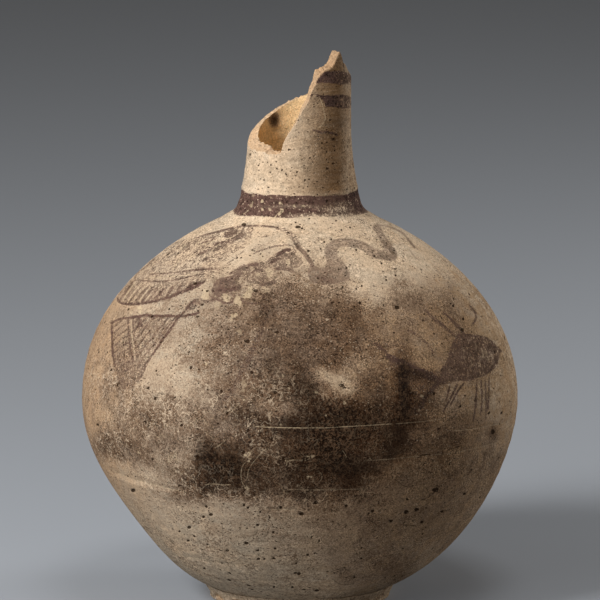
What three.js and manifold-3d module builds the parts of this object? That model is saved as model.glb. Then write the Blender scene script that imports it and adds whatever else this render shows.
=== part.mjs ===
// A broken wheel-thrown jug of fired clay, as a potter put it together and as it survives.
// The pieces are the turned foot ring, the thrown lower bowl, the thrown upper bowl that closes in to the
// shoulder, the thrown neck that lost its mouth, the clay collar that lutes the neck to the shoulder, and the
// root of the lost strap handle. Units are millimetres, +Z is up, the foot stands on z = 0, the neck's axis is
// the Z axis, and the painted front faces -Y.

import * as THREE from "three";
import { mergeVertices } from "three/addons/utils/BufferGeometryUtils.js";
import Module from "manifold-3d";

const wasm = await Module();
wasm.setup();

// Driving dimensions of the thrown body.
const BELLY_RADIUS = 98.4;
const BODY_WALL = 5.2;
const FLOOR_THICKNESS = 8;
const SEAM_HEIGHT = 62;

// The body's outline above and below the belly is r = BELLY_RADIUS * (1 - t^rise)^(1 / round), where t is the
// distance from the belly as a share of the half's full height. The lower half would close a little below the
// resting plane.
const SHOULDER = { height: 92, rise: 2.15, round: 1.52 };
const LOWER = { height: 90.5, rise: 1.65, round: 2.4 };
const CLOSING_DEPTH = 0.9;
const BELLY_HEIGHT = LOWER.height - CLOSING_DEPTH;

// The lower left flank slumped a little before firing.
const SLUMP_DEPTH = 4.2;
const SLUMP_ANGLE = -95;
const SLUMP_BOTTOM = 8;
const SLUMP_TOP = 82;
const SLUMP_SKEW = 0.7;

// The foot ring.
const FOOT_RADIUS = 41;
const FOOT_TOP_RADIUS = 44.5;
const FOOT_WIDTH = 10.5;
const FOOT_RECESS = 3.6;
const FOOT_EDGE = 1.2;

// The neck, which tapers upwards, and the collar round its base. Heights on them are above the seat that the
// shoulder gives them.
const NECK_BASE_RADIUS = 26;
const NECK_TOP_RADIUS = 23.1;
const NECK_WALL = 4.5;
const NECK_FOOT_DEPTH = 1.1;
const NECK_TAPER_TOP = 43.3;
const COLLAR_RADIUS = 36;
const COLLAR_HEIGHT = 15.8;
const COLLAR_EDGE = 1;
const COLLAR_THROAT = 5.8;

// The handle's broken root, on the back of the shoulder.
const HANDLE_ANGLE = 180;
const HANDLE_DROP = 15.5;
const HANDLE_WIDTH = 21;
const HANDLE_THICKNESS = 10;
const HANDLE_FLARE = 4.5;
const HANDLE_STUMP = 9;
const HANDLE_LEAN = 14;

// Clearance between pieces that wrap round each other, where the real joints hold a film of slip.
const CLEARANCE = 0.3;

// Fineness of the round forms.
const TURN_STEPS = 64;
const OUTLINE_STEPS = 10;

const radians = THREE.MathUtils.degToRad;

// The break of the neck: [degrees round from the front, towards +X; height of the outer edge above the neck's
// seat; how much higher the inner edge stands].
const NECK_BREAK = [
  [-100, 37.7, 3.4],
  [-82, 36.2, 3.5],
  [-64, 34.1, 3.2],
  [-43, 33.9, 2.4],
  [-31, 33.3, 1],
  [-22, 34.3, 0.8],
  [-18, 39.2, 0.9],
  [-5, 47.5, 1],
  [4, 54.3, 1.2],
  [12, 59.7, 1.2],
  [18, 65.3, 1.1],
  [23, 69.4, 1],
  [31, 70.9, 1],
  [39, 72.1, 1],
  [45, 75.5, 0.8],
  [52, 80.1, 0.2],
  [58, 73.8, 2.2],
  [66, 70.7, 2.2],
  [80, 67.1, 1.6],
  [104, 64.7, 0.8],
  [128, 61.9, 0.6],
  [150, 57.9, 0.6],
  [170, 54.3, 0.6],
  [186, 52.9, 0.6],
  [203, 49.4, 0.8],
  [220, 46.3, 1.2],
  [238, 42.7, 2.4],
];

// Chips along the foot ring's outer edge: angle from the front, width, height and depth of each flake scar.
const FOOT_CHIPS = [
  { angle: -84, width: 13, height: 5, depth: 3.4 },
  { angle: -62, width: 9, height: 4, depth: 1.8 },
  { angle: -38, width: 17, height: 4.4, depth: 2.6 },
  { angle: -12, width: 11, height: 3.2, depth: 1.6 },
  { angle: 148, width: 12, height: 3.6, depth: 1.8 },
];

// Radius of the body's outer outline at a height.
function bodyRadius(z) {
  const half = z > BELLY_HEIGHT ? SHOULDER : LOWER;
  const t = Math.min(1, Math.abs(z - BELLY_HEIGHT) / half.height);
  return BELLY_RADIUS * Math.pow(1 - Math.pow(t, half.rise), 1 / half.round);
}

// Height on the outer outline at which one half of the body has a radius.
function bodyHeight(radius, half, side) {
  const t = Math.pow(1 - Math.pow(radius / BELLY_RADIUS, half.round), 1 / half.rise);
  return BELLY_HEIGHT + side * half.height * t;
}

// Points of the outer outline between two heights, closer together where it turns faster.
function bodyOutline(zFrom, zTo) {
  const turnAt = (z) => {
    const half = z > BELLY_HEIGHT ? SHOULDER : LOWER;
    const t = Math.min(1, Math.abs(z - BELLY_HEIGHT) / half.height);
    return Math.sign(z - BELLY_HEIGHT) * Math.asin(Math.pow(t, half.rise / 2));
  };
  const from = turnAt(zFrom);
  const to = turnAt(zTo);
  const points = [];
  for (let i = 0; i <= OUTLINE_STEPS; i++) {
    const turn = from + ((to - from) * i) / OUTLINE_STEPS;
    const half = turn > 0 ? SHOULDER : LOWER;
    const t = Math.pow(Math.abs(Math.sin(turn)), 2 / half.rise);
    const z = BELLY_HEIGHT + Math.sign(turn) * half.height * t;
    points.push(new THREE.Vector2(bodyRadius(z), z));
  }
  points[0].set(bodyRadius(zFrom), zFrom);
  points[OUTLINE_STEPS].set(bodyRadius(zTo), zTo);
  return points;
}

// The same outline moved inwards along its normals; a negative distance moves it outwards.
function offsetOutline(points, distance) {
  return points.map((point, i) => {
    const before = points[Math.max(0, i - 1)];
    const after = points[Math.min(points.length - 1, i + 1)];
    const along = after.clone().sub(before).normalize();
    return new THREE.Vector2(point.x - along.y * distance, point.y + along.x * distance);
  });
}

// A profile of [radius, height] points turned about the Z axis. Angle 0 is the front, -Y.
function turned(points) {
  return new THREE.LatheGeometry(points, TURN_STEPS).rotateX(Math.PI / 2);
}

// How far the slumped flank moves in at a place on the body.
function slump(x, y, z) {
  const share = THREE.MathUtils.clamp((z - SLUMP_BOTTOM) / (SLUMP_TOP - SLUMP_BOTTOM), 0, 1);
  const facing = Math.cos(Math.atan2(x, -y) - radians(SLUMP_ANGLE));
  const swell = Math.sin(Math.PI * Math.pow(share, SLUMP_SKEW));
  return SLUMP_DEPTH * swell * swell * Math.pow(Math.max(0, facing), 2);
}

// Moves a thrown piece's wall in where the flank slumped.
function slumped(geometry) {
  const places = geometry.attributes.position;
  for (let i = 0; i < places.count; i++) {
    const [x, y, z] = [places.getX(i), places.getY(i), places.getZ(i)];
    const radius = Math.hypot(x, y);
    if (radius < FOOT_TOP_RADIUS) continue;
    const share = 1 - slump(x, y, z) / radius;
    places.setXY(i, x * share, y * share);
  }
  return geometry;
}

// A closed geometry as a solid for cutting and joining.
function solid(geometry) {
  const bare = geometry.index ? geometry.toNonIndexed() : geometry.clone();
  bare.deleteAttribute("normal");
  bare.deleteAttribute("uv");
  const merged = mergeVertices(bare, 1e-4);
  return new wasm.Manifold(
    new wasm.Mesh({
      numProp: 3,
      vertProperties: merged.attributes.position.array,
      triVerts: new Uint32Array(merged.index.array),
    }),
  );
}

// A solid back as a geometry.
function geometryOf(shape) {
  const mesh = shape.getMesh();
  const geometry = new THREE.BufferGeometry();
  geometry.setAttribute("position", new THREE.BufferAttribute(mesh.vertProperties, 3));
  geometry.setIndex(new THREE.BufferAttribute(mesh.triVerts, 1));
  geometry.computeVertexNormals();
  return geometry;
}

function piece(name, geometry, color, roughness) {
  const material = new THREE.MeshStandardMaterial({ color, roughness, metalness: 0 });
  const mesh = new THREE.Mesh(geometry, material);
  mesh.name = name;
  return mesh;
}

// Places that several pieces share.
const NECK_SEAT = bodyHeight(COLLAR_RADIUS, SHOULDER, 1) - COLLAR_EDGE;
const NECK_FOOT_RADIUS = NECK_BASE_RADIUS - NECK_FOOT_DEPTH;
const THROAT_RADIUS = NECK_FOOT_RADIUS - NECK_WALL;

// The turned foot ring. Its top face carries the bowl's flat underside, and its outer lip laps up round it.
function footRing() {
  const underside = bodyOutline(FOOT_RECESS, bodyHeight(FOOT_TOP_RADIUS, LOWER, -1));
  const lap = offsetOutline(underside, -CLEARANCE).filter((p) => p.y > FOOT_RECESS + CLEARANCE);
  const innerRadius = FOOT_RADIUS - FOOT_WIDTH;
  const lip = lap[lap.length - 1];
  const profile = [
    new THREE.Vector2(innerRadius + FOOT_EDGE, 0),
    new THREE.Vector2(FOOT_RADIUS - FOOT_EDGE, 0),
    new THREE.Vector2(FOOT_RADIUS, FOOT_EDGE),
    new THREE.Vector2(lip.x + CLEARANCE, lip.y),
    ...lap.reverse(),
    new THREE.Vector2(bodyRadius(FOOT_RECESS), FOOT_RECESS),
    new THREE.Vector2(innerRadius, FOOT_RECESS),
    new THREE.Vector2(innerRadius, FOOT_EDGE),
    new THREE.Vector2(innerRadius + FOOT_EDGE, 0),
  ];
  let ring = solid(turned(profile));
  for (const chip of FOOT_CHIPS) {
    const angle = radians(chip.angle);
    const flake = new THREE.IcosahedronGeometry(1, 1)
      .scale(chip.width / 2, chip.depth, chip.height / 2)
      .translate(0, -FOOT_TOP_RADIUS, FOOT_RECESS - FOOT_EDGE)
      .rotateZ(angle);
    ring = ring.subtract(solid(flake));
  }
  return piece("foot_ring", geometryOf(ring), 0xb59a76, 0.9);
}

// The thrown bowl that makes the lower body, with a flat turned underside inside the foot ring.
function lowerBody() {
  const outer = bodyOutline(FOOT_RECESS, SEAM_HEIGHT);
  const floorTop = FOOT_RECESS + FLOOR_THICKNESS;
  const inner = offsetOutline(outer, BODY_WALL).filter((p) => p.y > floorTop + BODY_WALL / 2);
  const rim = inner.pop();
  const profile = [
    new THREE.Vector2(0, FOOT_RECESS),
    ...outer,
    new THREE.Vector2(rim.x, SEAM_HEIGHT),
    ...inner.reverse(),
    new THREE.Vector2(inner[inner.length - 1].x * 0.8, floorTop + BODY_WALL / 5),
    new THREE.Vector2(inner[inner.length - 1].x * 0.55, floorTop),
    new THREE.Vector2(0, floorTop),
  ];
  return piece("lower_body", slumped(turned(profile)), 0xa8926e, 0.9);
}

// The thrown upper bowl. It stands rim to rim on the lower one and closes in to the seat of the neck.
function upperBody() {
  const outer = bodyOutline(SEAM_HEIGHT, NECK_SEAT + COLLAR_EDGE);
  const inner = offsetOutline(outer, BODY_WALL).filter((p) => p.x > THROAT_RADIUS + BODY_WALL);
  const rim = inner.shift();
  const profile = [
    ...outer,
    new THREE.Vector2(COLLAR_RADIUS, NECK_SEAT),
    new THREE.Vector2(THROAT_RADIUS, NECK_SEAT),
    new THREE.Vector2(THROAT_RADIUS, NECK_SEAT - BODY_WALL / 2),
    ...inner.reverse(),
    new THREE.Vector2(rim.x, SEAM_HEIGHT),
    outer[0].clone(),
  ];
  return piece("upper_body", slumped(turned(profile)), 0xa58a66, 0.9);
}

// A ring round the axis that takes everything above the break away from the neck, up to a height.
function breakCutter(top) {
  const insideRadius = THROAT_RADIUS - NECK_WALL;
  const outsideRadius = NECK_BASE_RADIUS + NECK_WALL;
  const places = [];
  for (const [degrees, heightAboveSeat, rise] of NECK_BREAK) {
    const angle = radians(degrees);
    const slope = rise / NECK_WALL;
    const height = NECK_SEAT + heightAboveSeat;
    const corners = [
      [outsideRadius, height - slope * (outsideRadius - NECK_TOP_RADIUS)],
      [outsideRadius, top],
      [insideRadius, top],
      [insideRadius, height + slope * (NECK_TOP_RADIUS - insideRadius)],
    ];
    for (const [r, z] of corners) places.push(r * Math.sin(angle), -r * Math.cos(angle), z);
  }
  const index = [];
  const count = NECK_BREAK.length;
  for (let i = 0; i < count; i++) {
    const next = (i + 1) % count;
    for (let k = 0; k < 4; k++) {
      const [a, b] = [4 * i + k, 4 * i + ((k + 1) % 4)];
      const [c, d] = [4 * next + k, 4 * next + ((k + 1) % 4)];
      index.push(a, c, b, c, d, b);
    }
  }
  const geometry = new THREE.BufferGeometry();
  geometry.setAttribute("position", new THREE.Float32BufferAttribute(places, 3));
  geometry.setIndex(index);
  return solid(geometry);
}

// The thrown neck. Its foot stands on the shoulder inside the collar, and its mouth is broken away.
function neck() {
  const collarTop = NECK_SEAT + COLLAR_HEIGHT;
  const taperTop = NECK_SEAT + NECK_TAPER_TOP;
  const unbrokenTop = NECK_SEAT + Math.max(...NECK_BREAK.map((place) => place[1])) + NECK_WALL;
  const taper = new THREE.QuadraticBezierCurve(
    new THREE.Vector2(NECK_BASE_RADIUS, collarTop),
    new THREE.Vector2(NECK_TOP_RADIUS + NECK_FOOT_DEPTH / 2, (collarTop + taperTop) / 2),
    new THREE.Vector2(NECK_TOP_RADIUS, taperTop),
  );
  const outer = taper.getPoints(4);
  outer.push(new THREE.Vector2(NECK_TOP_RADIUS, unbrokenTop));
  const inner = outer.map((p) => new THREE.Vector2(p.x - NECK_WALL, p.y)).reverse();
  const profile = [
    new THREE.Vector2(THROAT_RADIUS, NECK_SEAT),
    new THREE.Vector2(NECK_FOOT_RADIUS, NECK_SEAT),
    new THREE.Vector2(NECK_FOOT_RADIUS, collarTop),
    ...outer,
    ...inner,
    new THREE.Vector2(THROAT_RADIUS, NECK_SEAT),
  ];
  const whole = solid(turned(profile));
  return piece("neck", geometryOf(whole.subtract(breakCutter(unbrokenTop + NECK_WALL))), 0xb39c78, 0.9);
}

// The collar of clay that lutes the neck to the shoulder and carries the dark painted band.
function neckCollar() {
  const innerRadius = NECK_FOOT_RADIUS + CLEARANCE;
  const rim = COLLAR_RADIUS - CLEARANCE;
  const flare = new THREE.QuadraticBezierCurve(
    new THREE.Vector2(rim, NECK_SEAT + COLLAR_EDGE),
    new THREE.Vector2(NECK_BASE_RADIUS + CLEARANCE, NECK_SEAT + COLLAR_THROAT),
    new THREE.Vector2(NECK_BASE_RADIUS, NECK_SEAT + COLLAR_HEIGHT),
  );
  const profile = [
    new THREE.Vector2(innerRadius, NECK_SEAT),
    new THREE.Vector2(rim, NECK_SEAT),
    ...flare.getPoints(8),
    new THREE.Vector2(innerRadius, NECK_SEAT + COLLAR_HEIGHT),
    new THREE.Vector2(innerRadius, NECK_SEAT),
  ];
  return piece("neck_collar", turned(profile), 0x4c3a33, 0.85);
}

// The root of the strap handle: an oval stump that flares out onto the shoulder, broken off short.
function handleRoot() {
  const reach = BODY_WALL + HANDLE_FLARE;
  const flare = new THREE.QuadraticBezierCurve(
    new THREE.Vector2(HANDLE_WIDTH / 2 + HANDLE_FLARE, 0),
    new THREE.Vector2(HANDLE_WIDTH / 2, 0),
    new THREE.Vector2(HANDLE_WIDTH / 2, HANDLE_FLARE),
  );
  const profile = [
    new THREE.Vector2(0, -reach),
    new THREE.Vector2(HANDLE_WIDTH / 2 + HANDLE_FLARE, -reach),
    ...flare.getPoints(5),
    new THREE.Vector2(HANDLE_WIDTH / 2, HANDLE_STUMP * 2),
    new THREE.Vector2(0, HANDLE_STUMP * 2),
  ];
  const seatHeight = NECK_SEAT - HANDLE_DROP;
  const seatRadius = bodyRadius(seatHeight);
  const slope = Math.atan2(bodyRadius(seatHeight - 1) - seatRadius, 1);
  const lean = slope + radians(HANDLE_LEAN);
  const strap = new THREE.LatheGeometry(profile, TURN_STEPS / 2)
    .rotateX(Math.PI / 2)
    .scale(1, HANDLE_THICKNESS / HANDLE_WIDTH, 1);
  const breakPlane = new THREE.IcosahedronGeometry(HANDLE_WIDTH, 2)
    .scale(1, 1, 0.7)
    .rotateX(radians(HANDLE_LEAN))
    .translate(HANDLE_FLARE / 2, 0, HANDLE_STUMP + HANDLE_WIDTH * 0.7);
  const place = (geometry) =>
    geometry
      .rotateX(Math.PI / 2 - lean)
      .translate(0, -seatRadius, seatHeight)
      .rotateZ(radians(HANDLE_ANGLE));
  const shoulder = offsetOutline(bodyOutline(SEAM_HEIGHT, NECK_SEAT), -CLEARANCE);
  const bulk = [
    new THREE.Vector2(0, SEAM_HEIGHT),
    ...shoulder,
    new THREE.Vector2(0, shoulder[shoulder.length - 1].y),
  ];
  const stump = solid(place(strap)).subtract(solid(turned(bulk))).subtract(solid(place(breakPlane)));
  return piece("handle_root", geometryOf(stump), 0xa8926e, 0.9);
}

const jug = new THREE.Group();
jug.add(footRing(), lowerBody(), upperBody(), neckCollar(), neck(), handleRoot());

export default jug;
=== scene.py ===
"""A broken, painted clay jug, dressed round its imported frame.

Heights, radii and lengths in the shape functions are millimetres in the jug's own frame: +Z up, the foot
on z = 0, the neck's axis on Z and the painted front towards -Y. Angles run from the front towards +X.
Painted strokes, stains and scratches are laid out as the photograph shows them, in its 600 by 600 frame,
and are thrown back onto the clay by the camera's own numbers.
"""
import math
from collections import namedtuple

import bpy
import numpy as np
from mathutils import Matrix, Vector


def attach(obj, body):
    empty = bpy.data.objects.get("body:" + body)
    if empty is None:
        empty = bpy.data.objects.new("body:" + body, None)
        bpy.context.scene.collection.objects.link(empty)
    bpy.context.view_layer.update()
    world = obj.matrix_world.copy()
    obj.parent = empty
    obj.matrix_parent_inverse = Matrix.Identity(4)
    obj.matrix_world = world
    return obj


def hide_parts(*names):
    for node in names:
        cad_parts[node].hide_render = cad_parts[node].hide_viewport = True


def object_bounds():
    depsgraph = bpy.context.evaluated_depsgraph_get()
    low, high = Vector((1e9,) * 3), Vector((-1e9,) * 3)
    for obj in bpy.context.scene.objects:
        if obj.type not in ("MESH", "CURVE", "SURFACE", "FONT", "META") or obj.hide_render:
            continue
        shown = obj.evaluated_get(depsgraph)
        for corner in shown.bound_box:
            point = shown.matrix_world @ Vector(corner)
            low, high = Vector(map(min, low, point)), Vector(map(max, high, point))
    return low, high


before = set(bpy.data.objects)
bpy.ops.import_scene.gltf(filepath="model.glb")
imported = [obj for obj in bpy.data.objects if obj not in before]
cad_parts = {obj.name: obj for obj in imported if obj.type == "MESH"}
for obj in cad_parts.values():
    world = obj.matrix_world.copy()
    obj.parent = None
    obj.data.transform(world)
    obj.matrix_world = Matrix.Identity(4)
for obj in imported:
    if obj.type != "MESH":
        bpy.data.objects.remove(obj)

bl_info = {
    "name": "Broken painted jug",
    "version": (1, 0, 0),
    "blender": (4, 5, 0),
    "location": "View3D > Sidebar > Jug",
    "description": "Builds the clay, the slip painting and the weathering of a broken ancient jug",
    "category": "Add Mesh",
}

MM = 0.001
CAD_LOW, CAD_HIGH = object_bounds()

# The photograph's frame and the camera that was worked out from it.
PHOTO_SIDE = 600
PHOTO_PIXEL = 0.449
AXIS_COLUMN = 299.7
AIM_ROW = 300
AIM_HEIGHT = 135
VIEW_DISTANCE = 2400
VIEW_TILT = math.radians(10)
SENSOR = 36

# The thrown body: each half's height, rise and roundness, as the construction has them.
Half = namedtuple("Half", "height rise roundness")
SHOULDER = Half(92, 2.15, 1.52)
LOWER = Half(90.5, 1.65, 2.4)
BELLY_HEIGHT = 89.6
BODY_WALL = 5.2
FLOOR_TOP = 11.6
SEAM_HEIGHT = 62
SLUMP_DEPTH = 4.2
SLUMP_ANGLE = math.radians(-95)
SLUMP_BOTTOM = 8
SLUMP_TOP = 82
SLUMP_SKEW = 0.7

# The mesh is finer at the front and above the height where the fine painting starts.
BACK_DENSITY = 0.16
PAINT_LOW = 96

# The foot ring.
FOOT_RADIUS = 41
FOOT_LIP_RADIUS = 44.5
FOOT_WIDTH = 10.5
FOOT_RECESS = 3.6
FOOT_EDGE = 1.2
FOOT_LIP_HEIGHT = 7.0

# The neck and its collar.
NECK_SEAT = 170.7
NECK_FOOT_RADIUS = 24.9
NECK_BASE_RADIUS = 26
NECK_TOP_RADIUS = 23.1
NECK_WALL = 4.5
NECK_TAPER_TOP = 214
THROAT_RADIUS = 20.4
COLLAR_RADIUS = 36
COLLAR_TOP = 186.5
SHOULDER_TOP = 171.7
COLLAR_PROFILE = ((33, 173.6), (30.4, 175.2), (28.6, 177.2), (27.3, 180.2), (26.4, 183.4))

# The two dark bands round the neck are hoops that sink towards the back: their heights at the side, half
# their width, and how far their front lies above that height.
UPPER_BAND = 235
LOWER_BAND = 224.4
BAND_HALF = 2.8
BAND_TILT = 4.1

# The bands' paint gets weaker across the shard: columns of the photograph, and the strength at each.
BAND_COLUMNS = (316, 331, 337, 350)
BAND_STRENGTHS = (1.12, 1.1, 0.86, 0.74)

# The break of the neck: degrees from the front, height of the outer edge, rise of the inner edge over it.
NECK_BREAK = (
    (-104, 209.4, 3.3), (-90, 206.5, 3.6), (-66, 204.8, 3.2), (-54, 204.9, 2.9), (-42, 204.7, 2.2),
    (-36, 204.2, 1.2), (-31, 204.1, 0.7), (-26, 204.3, 0.8), (-21, 205.2, 0.9), (-18.7, 209.2, 1),
    (-11.5, 214.3, 1.1), (-4.8, 218.1, 1.1), (0.8, 222.2, 1.2), (3.9, 224.8, 1.3), (11, 229.5, 1.3),
    (13.6, 233, 1.2), (17.6, 235.3, 1.1), (19.5, 237.2, 2.1), (21.7, 239, 3.1), (24, 240.3, 2),
    (30.1, 241.5, 0.8), (38.2, 242.6, 1), (42.7, 244.9, 0.8), (47.6, 247.2, 0.6), (51.5, 249.5, 0.2),
    (55, 247, 0.8), (58, 244.4, 1.9), (66, 241.6, 2.1), (73, 239.6, 1.8), (79.3, 238, 1.6),
    (95, 235.8, 0.9), (112, 234.6, 0.8), (130, 231.9, 0.6), (150, 228.2, 0.6), (169, 225.2, 0.6),
    (182, 223.6, 0.6), (194, 221.7, 0.7), (208, 219.1, 0.9), (223, 216, 1.3), (239, 212.7, 2.3),
    (256, 209.4, 3.3),
)

# Flake scars along the foot ring's edge: the height of their middles, then degrees, width, height and depth.
FOOT_CHIP_HEIGHT = 2.4
FOOT_CHIPS = (
    (-84, 13, 5, 3.4), (-62, 9, 4, 1.8), (-38, 17, 4.4, 2.6), (-12, 11, 3.2, 1.6), (148, 12, 3.6, 1.8),
)

# The heights between which the body has pits that the photograph doesn't show, and their random seed.
PIT_LOW = 12
PIT_HIGH = 168
PIT_SEED = 41

# The root of the lost handle.
HANDLE_DROP = 15.5
HANDLE_WIDTH = 21
HANDLE_THICKNESS = 10
HANDLE_FLARE = 4.5
HANDLE_STUMP = 9
HANDLE_LEAN = math.radians(14)

# The stage, in metres: the floor's half side, the soft lamps and the room's light.
FLOOR_REACH = 9.0
LAMP_AIM = (0, 0, 0.12)
Lamp = namedtuple("Lamp", "name place width power")
LAMPS = (
    Lamp("key_lamp", (-1.08, -0.92, 1.15), 0.6, 34),
    Lamp("low_lamp", (-0.88, -1.02, 0.28), 0.45, 4.9),
    Lamp("edge_lamp", (1.4, 0.61, 0.63), 0.6, 9.1),
    Lamp("top_lamp", (0.25, -0.45, 1.9), 0.6, 7),
)
ROOM_LIGHT = (1.0, 0.9, 0.78, 1)
ROOM_STRENGTH = 0.11

# The floor's colour is scaled for the light that it bounces onto the jug, and for the view past its edge.
FLOOR_ROUGHNESS = 0.9
FLOOR_BOUNCE = 0.645
PAST_THE_FLOOR = 0.5

# What a place without a mark holds: a depth far outside all paint and a distance far from all lines, both in
# millimetres, and a count halfway between two hatching strokes.
FAR_OUTSIDE = -6.0
FAR_SIDE = 3.0
BETWEEN_STROKES = 0.5

# How far from a stroke or line, from a pale spot's edge and from a pit's middle (columns, rows) their marks are
# worked out, in pixels, and the least share of the front that a painted place has.
PATH_REACH = 6
SPOT_REACH = 4
PIT_REACH = (6, 5)
SEEN_SHARE = 0.02
CURVE_STEPS = 5


# Sizes and colours that a user would change.

def colour_property(name, description, default):
    """A colour that a user would change."""
    return bpy.props.FloatVectorProperty(name=name, description=description, subtype="COLOR", default=default)


class JugSizes(bpy.types.PropertyGroup):
    """Sizes of the thrown body and of its surface."""

    belly_radius: bpy.props.FloatProperty(
        name="Belly radius", description="Widest radius of the body", default=CAD_HIGH.x, unit="LENGTH")
    rib_depth: bpy.props.FloatProperty(
        name="Throwing ribs", description="Depth of the finger ribs", default=0.1 * MM, unit="LENGTH")
    lump_depth: bpy.props.FloatProperty(
        name="Lumps", description="Depth of the slow unevenness", default=0.22 * MM, unit="LENGTH")
    pit_count: bpy.props.IntProperty(
        name="Pits", description="Number of deep pits in the body", default=420, min=0)
    pit_depth: bpy.props.FloatProperty(
        name="Pit depth", description="Depth of the deepest pits", default=0.8 * MM, unit="LENGTH")
    columns: bpy.props.IntProperty(
        name="Columns", description="Mesh columns round the body", default=440, min=64)


class JugColours(bpy.types.PropertyGroup):
    """Colours of the fired clay, the slip and the stains."""

    cream: colour_property("Cream clay", "The palest clay surface", (0.58, 0.447, 0.312))
    tan: colour_property("Tan clay", "The common clay surface", (0.43, 0.285, 0.163))
    orange: colour_property("Orange clay", "Warm clay at the rim and inside", (0.50, 0.30, 0.15))
    grey: colour_property("Grey clay", "Dull clay low on the body", (0.43, 0.345, 0.25))
    inside: colour_property("Inside clay", "Clean orange clay inside the vessel", (0.76, 0.54, 0.29))
    slip: colour_property("Slip", "Dark painted slip", (0.094, 0.053, 0.041))
    # The stain colour also paints the shadow down a crack at the shard's tip; the pale colour also paints a
    # highlight on the flake scar's edge.
    stain: colour_property("Stain", "Burial stain on the belly", (0.030, 0.014, 0.0055))
    halo: colour_property("Stain's edge", "Thin brown of the stain's edge", (0.12, 0.067, 0.036))
    pale: colour_property("Pale marks", "Scratches, chips and lime specks", (0.6, 0.46, 0.29))
    fresh: colour_property("Broken clay", "The clay's core in the break", (0.52, 0.35, 0.21))
    floor: colour_property("Floor", "The pale floor under the jug", (0.31, 0.33, 0.36))


# The photograph's view as a projection.

def seen_at(points):
    """Column and row at which points (millimetres) appear in the photograph's frame: a perspective view from
    VIEW_DISTANCE in front of the axis, tilted down by VIEW_TILT."""
    sine, cosine = math.sin(VIEW_TILT), math.cos(VIEW_TILT)
    rise = points[..., 2] - AIM_HEIGHT
    depth = VIEW_DISTANCE + points[..., 1] * cosine - rise * sine
    up = points[..., 1] * sine + rise * cosine
    share = VIEW_DISTANCE / depth / PHOTO_PIXEL
    return AXIS_COLUMN + points[..., 0] * share, AIM_ROW - up * share


# Smooth helper curves.

def smooth_step(low, high, value):
    """0 below low, 1 above high, and a smooth s-curve between them."""
    share = np.clip((value - low) / (high - low), 0, 1)
    return share * share * (3 - 2 * share)


def smooth_path(points, closed=False):
    """A Catmull-Rom curve through points, as an array of corners, CURVE_STEPS for each stretch."""
    p = np.array(points, float).reshape(-1, 2)
    if closed:
        p = np.vstack([p[-1], p, p[0], p[1]])
    else:
        p = np.vstack([2 * p[0] - p[1], p, 2 * p[-1] - p[-2]])
    a, b, c, d = p[:-3, None], p[1:-2, None], p[2:-1, None], p[3:, None]
    t = np.linspace(0, 1, CURVE_STEPS, endpoint=False)[None, :, None]
    curve = 0.5 * (2 * b + (c - a) * t + (2 * a - 5 * b + 4 * c - d) * t**2 + (3 * b - a - 3 * c + d) * t**3)
    curve = curve.reshape(-1, 2)
    return np.vstack([curve, p[1] if closed else p[-2]])


def path_distance(column, row, path):
    """Distance from each place to a path of straight pieces, the share of the path at its nearest point, and
    the side on which the place lies, -1 or 1."""
    best = np.full(column.shape, 1e9)
    where = np.zeros(column.shape)
    side = np.ones(column.shape)
    lengths = np.hypot(*np.diff(path, axis=0).T)
    way = np.concatenate([[0], np.cumsum(lengths)]) / max(lengths.sum(), 1e-9)
    for i, length in enumerate(lengths):
        if length < 1e-9:
            continue
        ux, uy = (path[i + 1] - path[i]) / length
        dx, dy = column - path[i, 0], row - path[i, 1]
        t = np.clip(dx * ux + dy * uy, 0, length)
        distance = np.hypot(dx - t * ux, dy - t * uy)
        nearer = distance < best
        best = np.where(nearer, distance, best)
        where = np.where(nearer, way[i] + t / length * (way[i + 1] - way[i]), where)
        side = np.where(nearer, np.where(dx * uy - dy * ux < 0, -1.0, 1.0), side)
    return best, where, side


def near_path(column, row, path, reach):
    """Whether each place lies in the box round a path, with a margin of the reach."""
    low, high = path.min(0) - reach, path.max(0) + reach
    return (column > low[0]) & (column < high[0]) & (row > low[1]) & (row < high[1])


def inside_depth(column, row, outline):
    """Distance to a closed outline, positive inside it."""
    distance, _, _ = path_distance(column, row, outline)
    crossings = np.zeros(column.shape, int)
    for (x0, y0), (x1, y1) in zip(outline[:-1], outline[1:]):
        spans = (y0 > row) != (y1 > row)
        if y1 != y0:
            crossings += spans & (column < (x1 - x0) * (row - y0) / (y1 - y0) + x0)
    return np.where(crossings % 2 == 1, distance, -distance)


# The painting, as brush strokes and filled shapes in the photograph's frame: a width in pixels, a strength
# from 0 to 1, and the corners as one run of columns and rows. Strong paint is laid over weak paint.

Stroke = namedtuple("Stroke", "width strength points")
Fill = namedtuple("Fill", "strength points")

TAIL_OUTER = (111.7, 322.8, 112, 331, 112.2, 341, 112.7, 350, 113.4, 358, 115, 366)
TAIL_MIDDLE = (128, 318, 128.5, 330, 129.5, 340, 131, 350, 132.8, 362)

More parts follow.
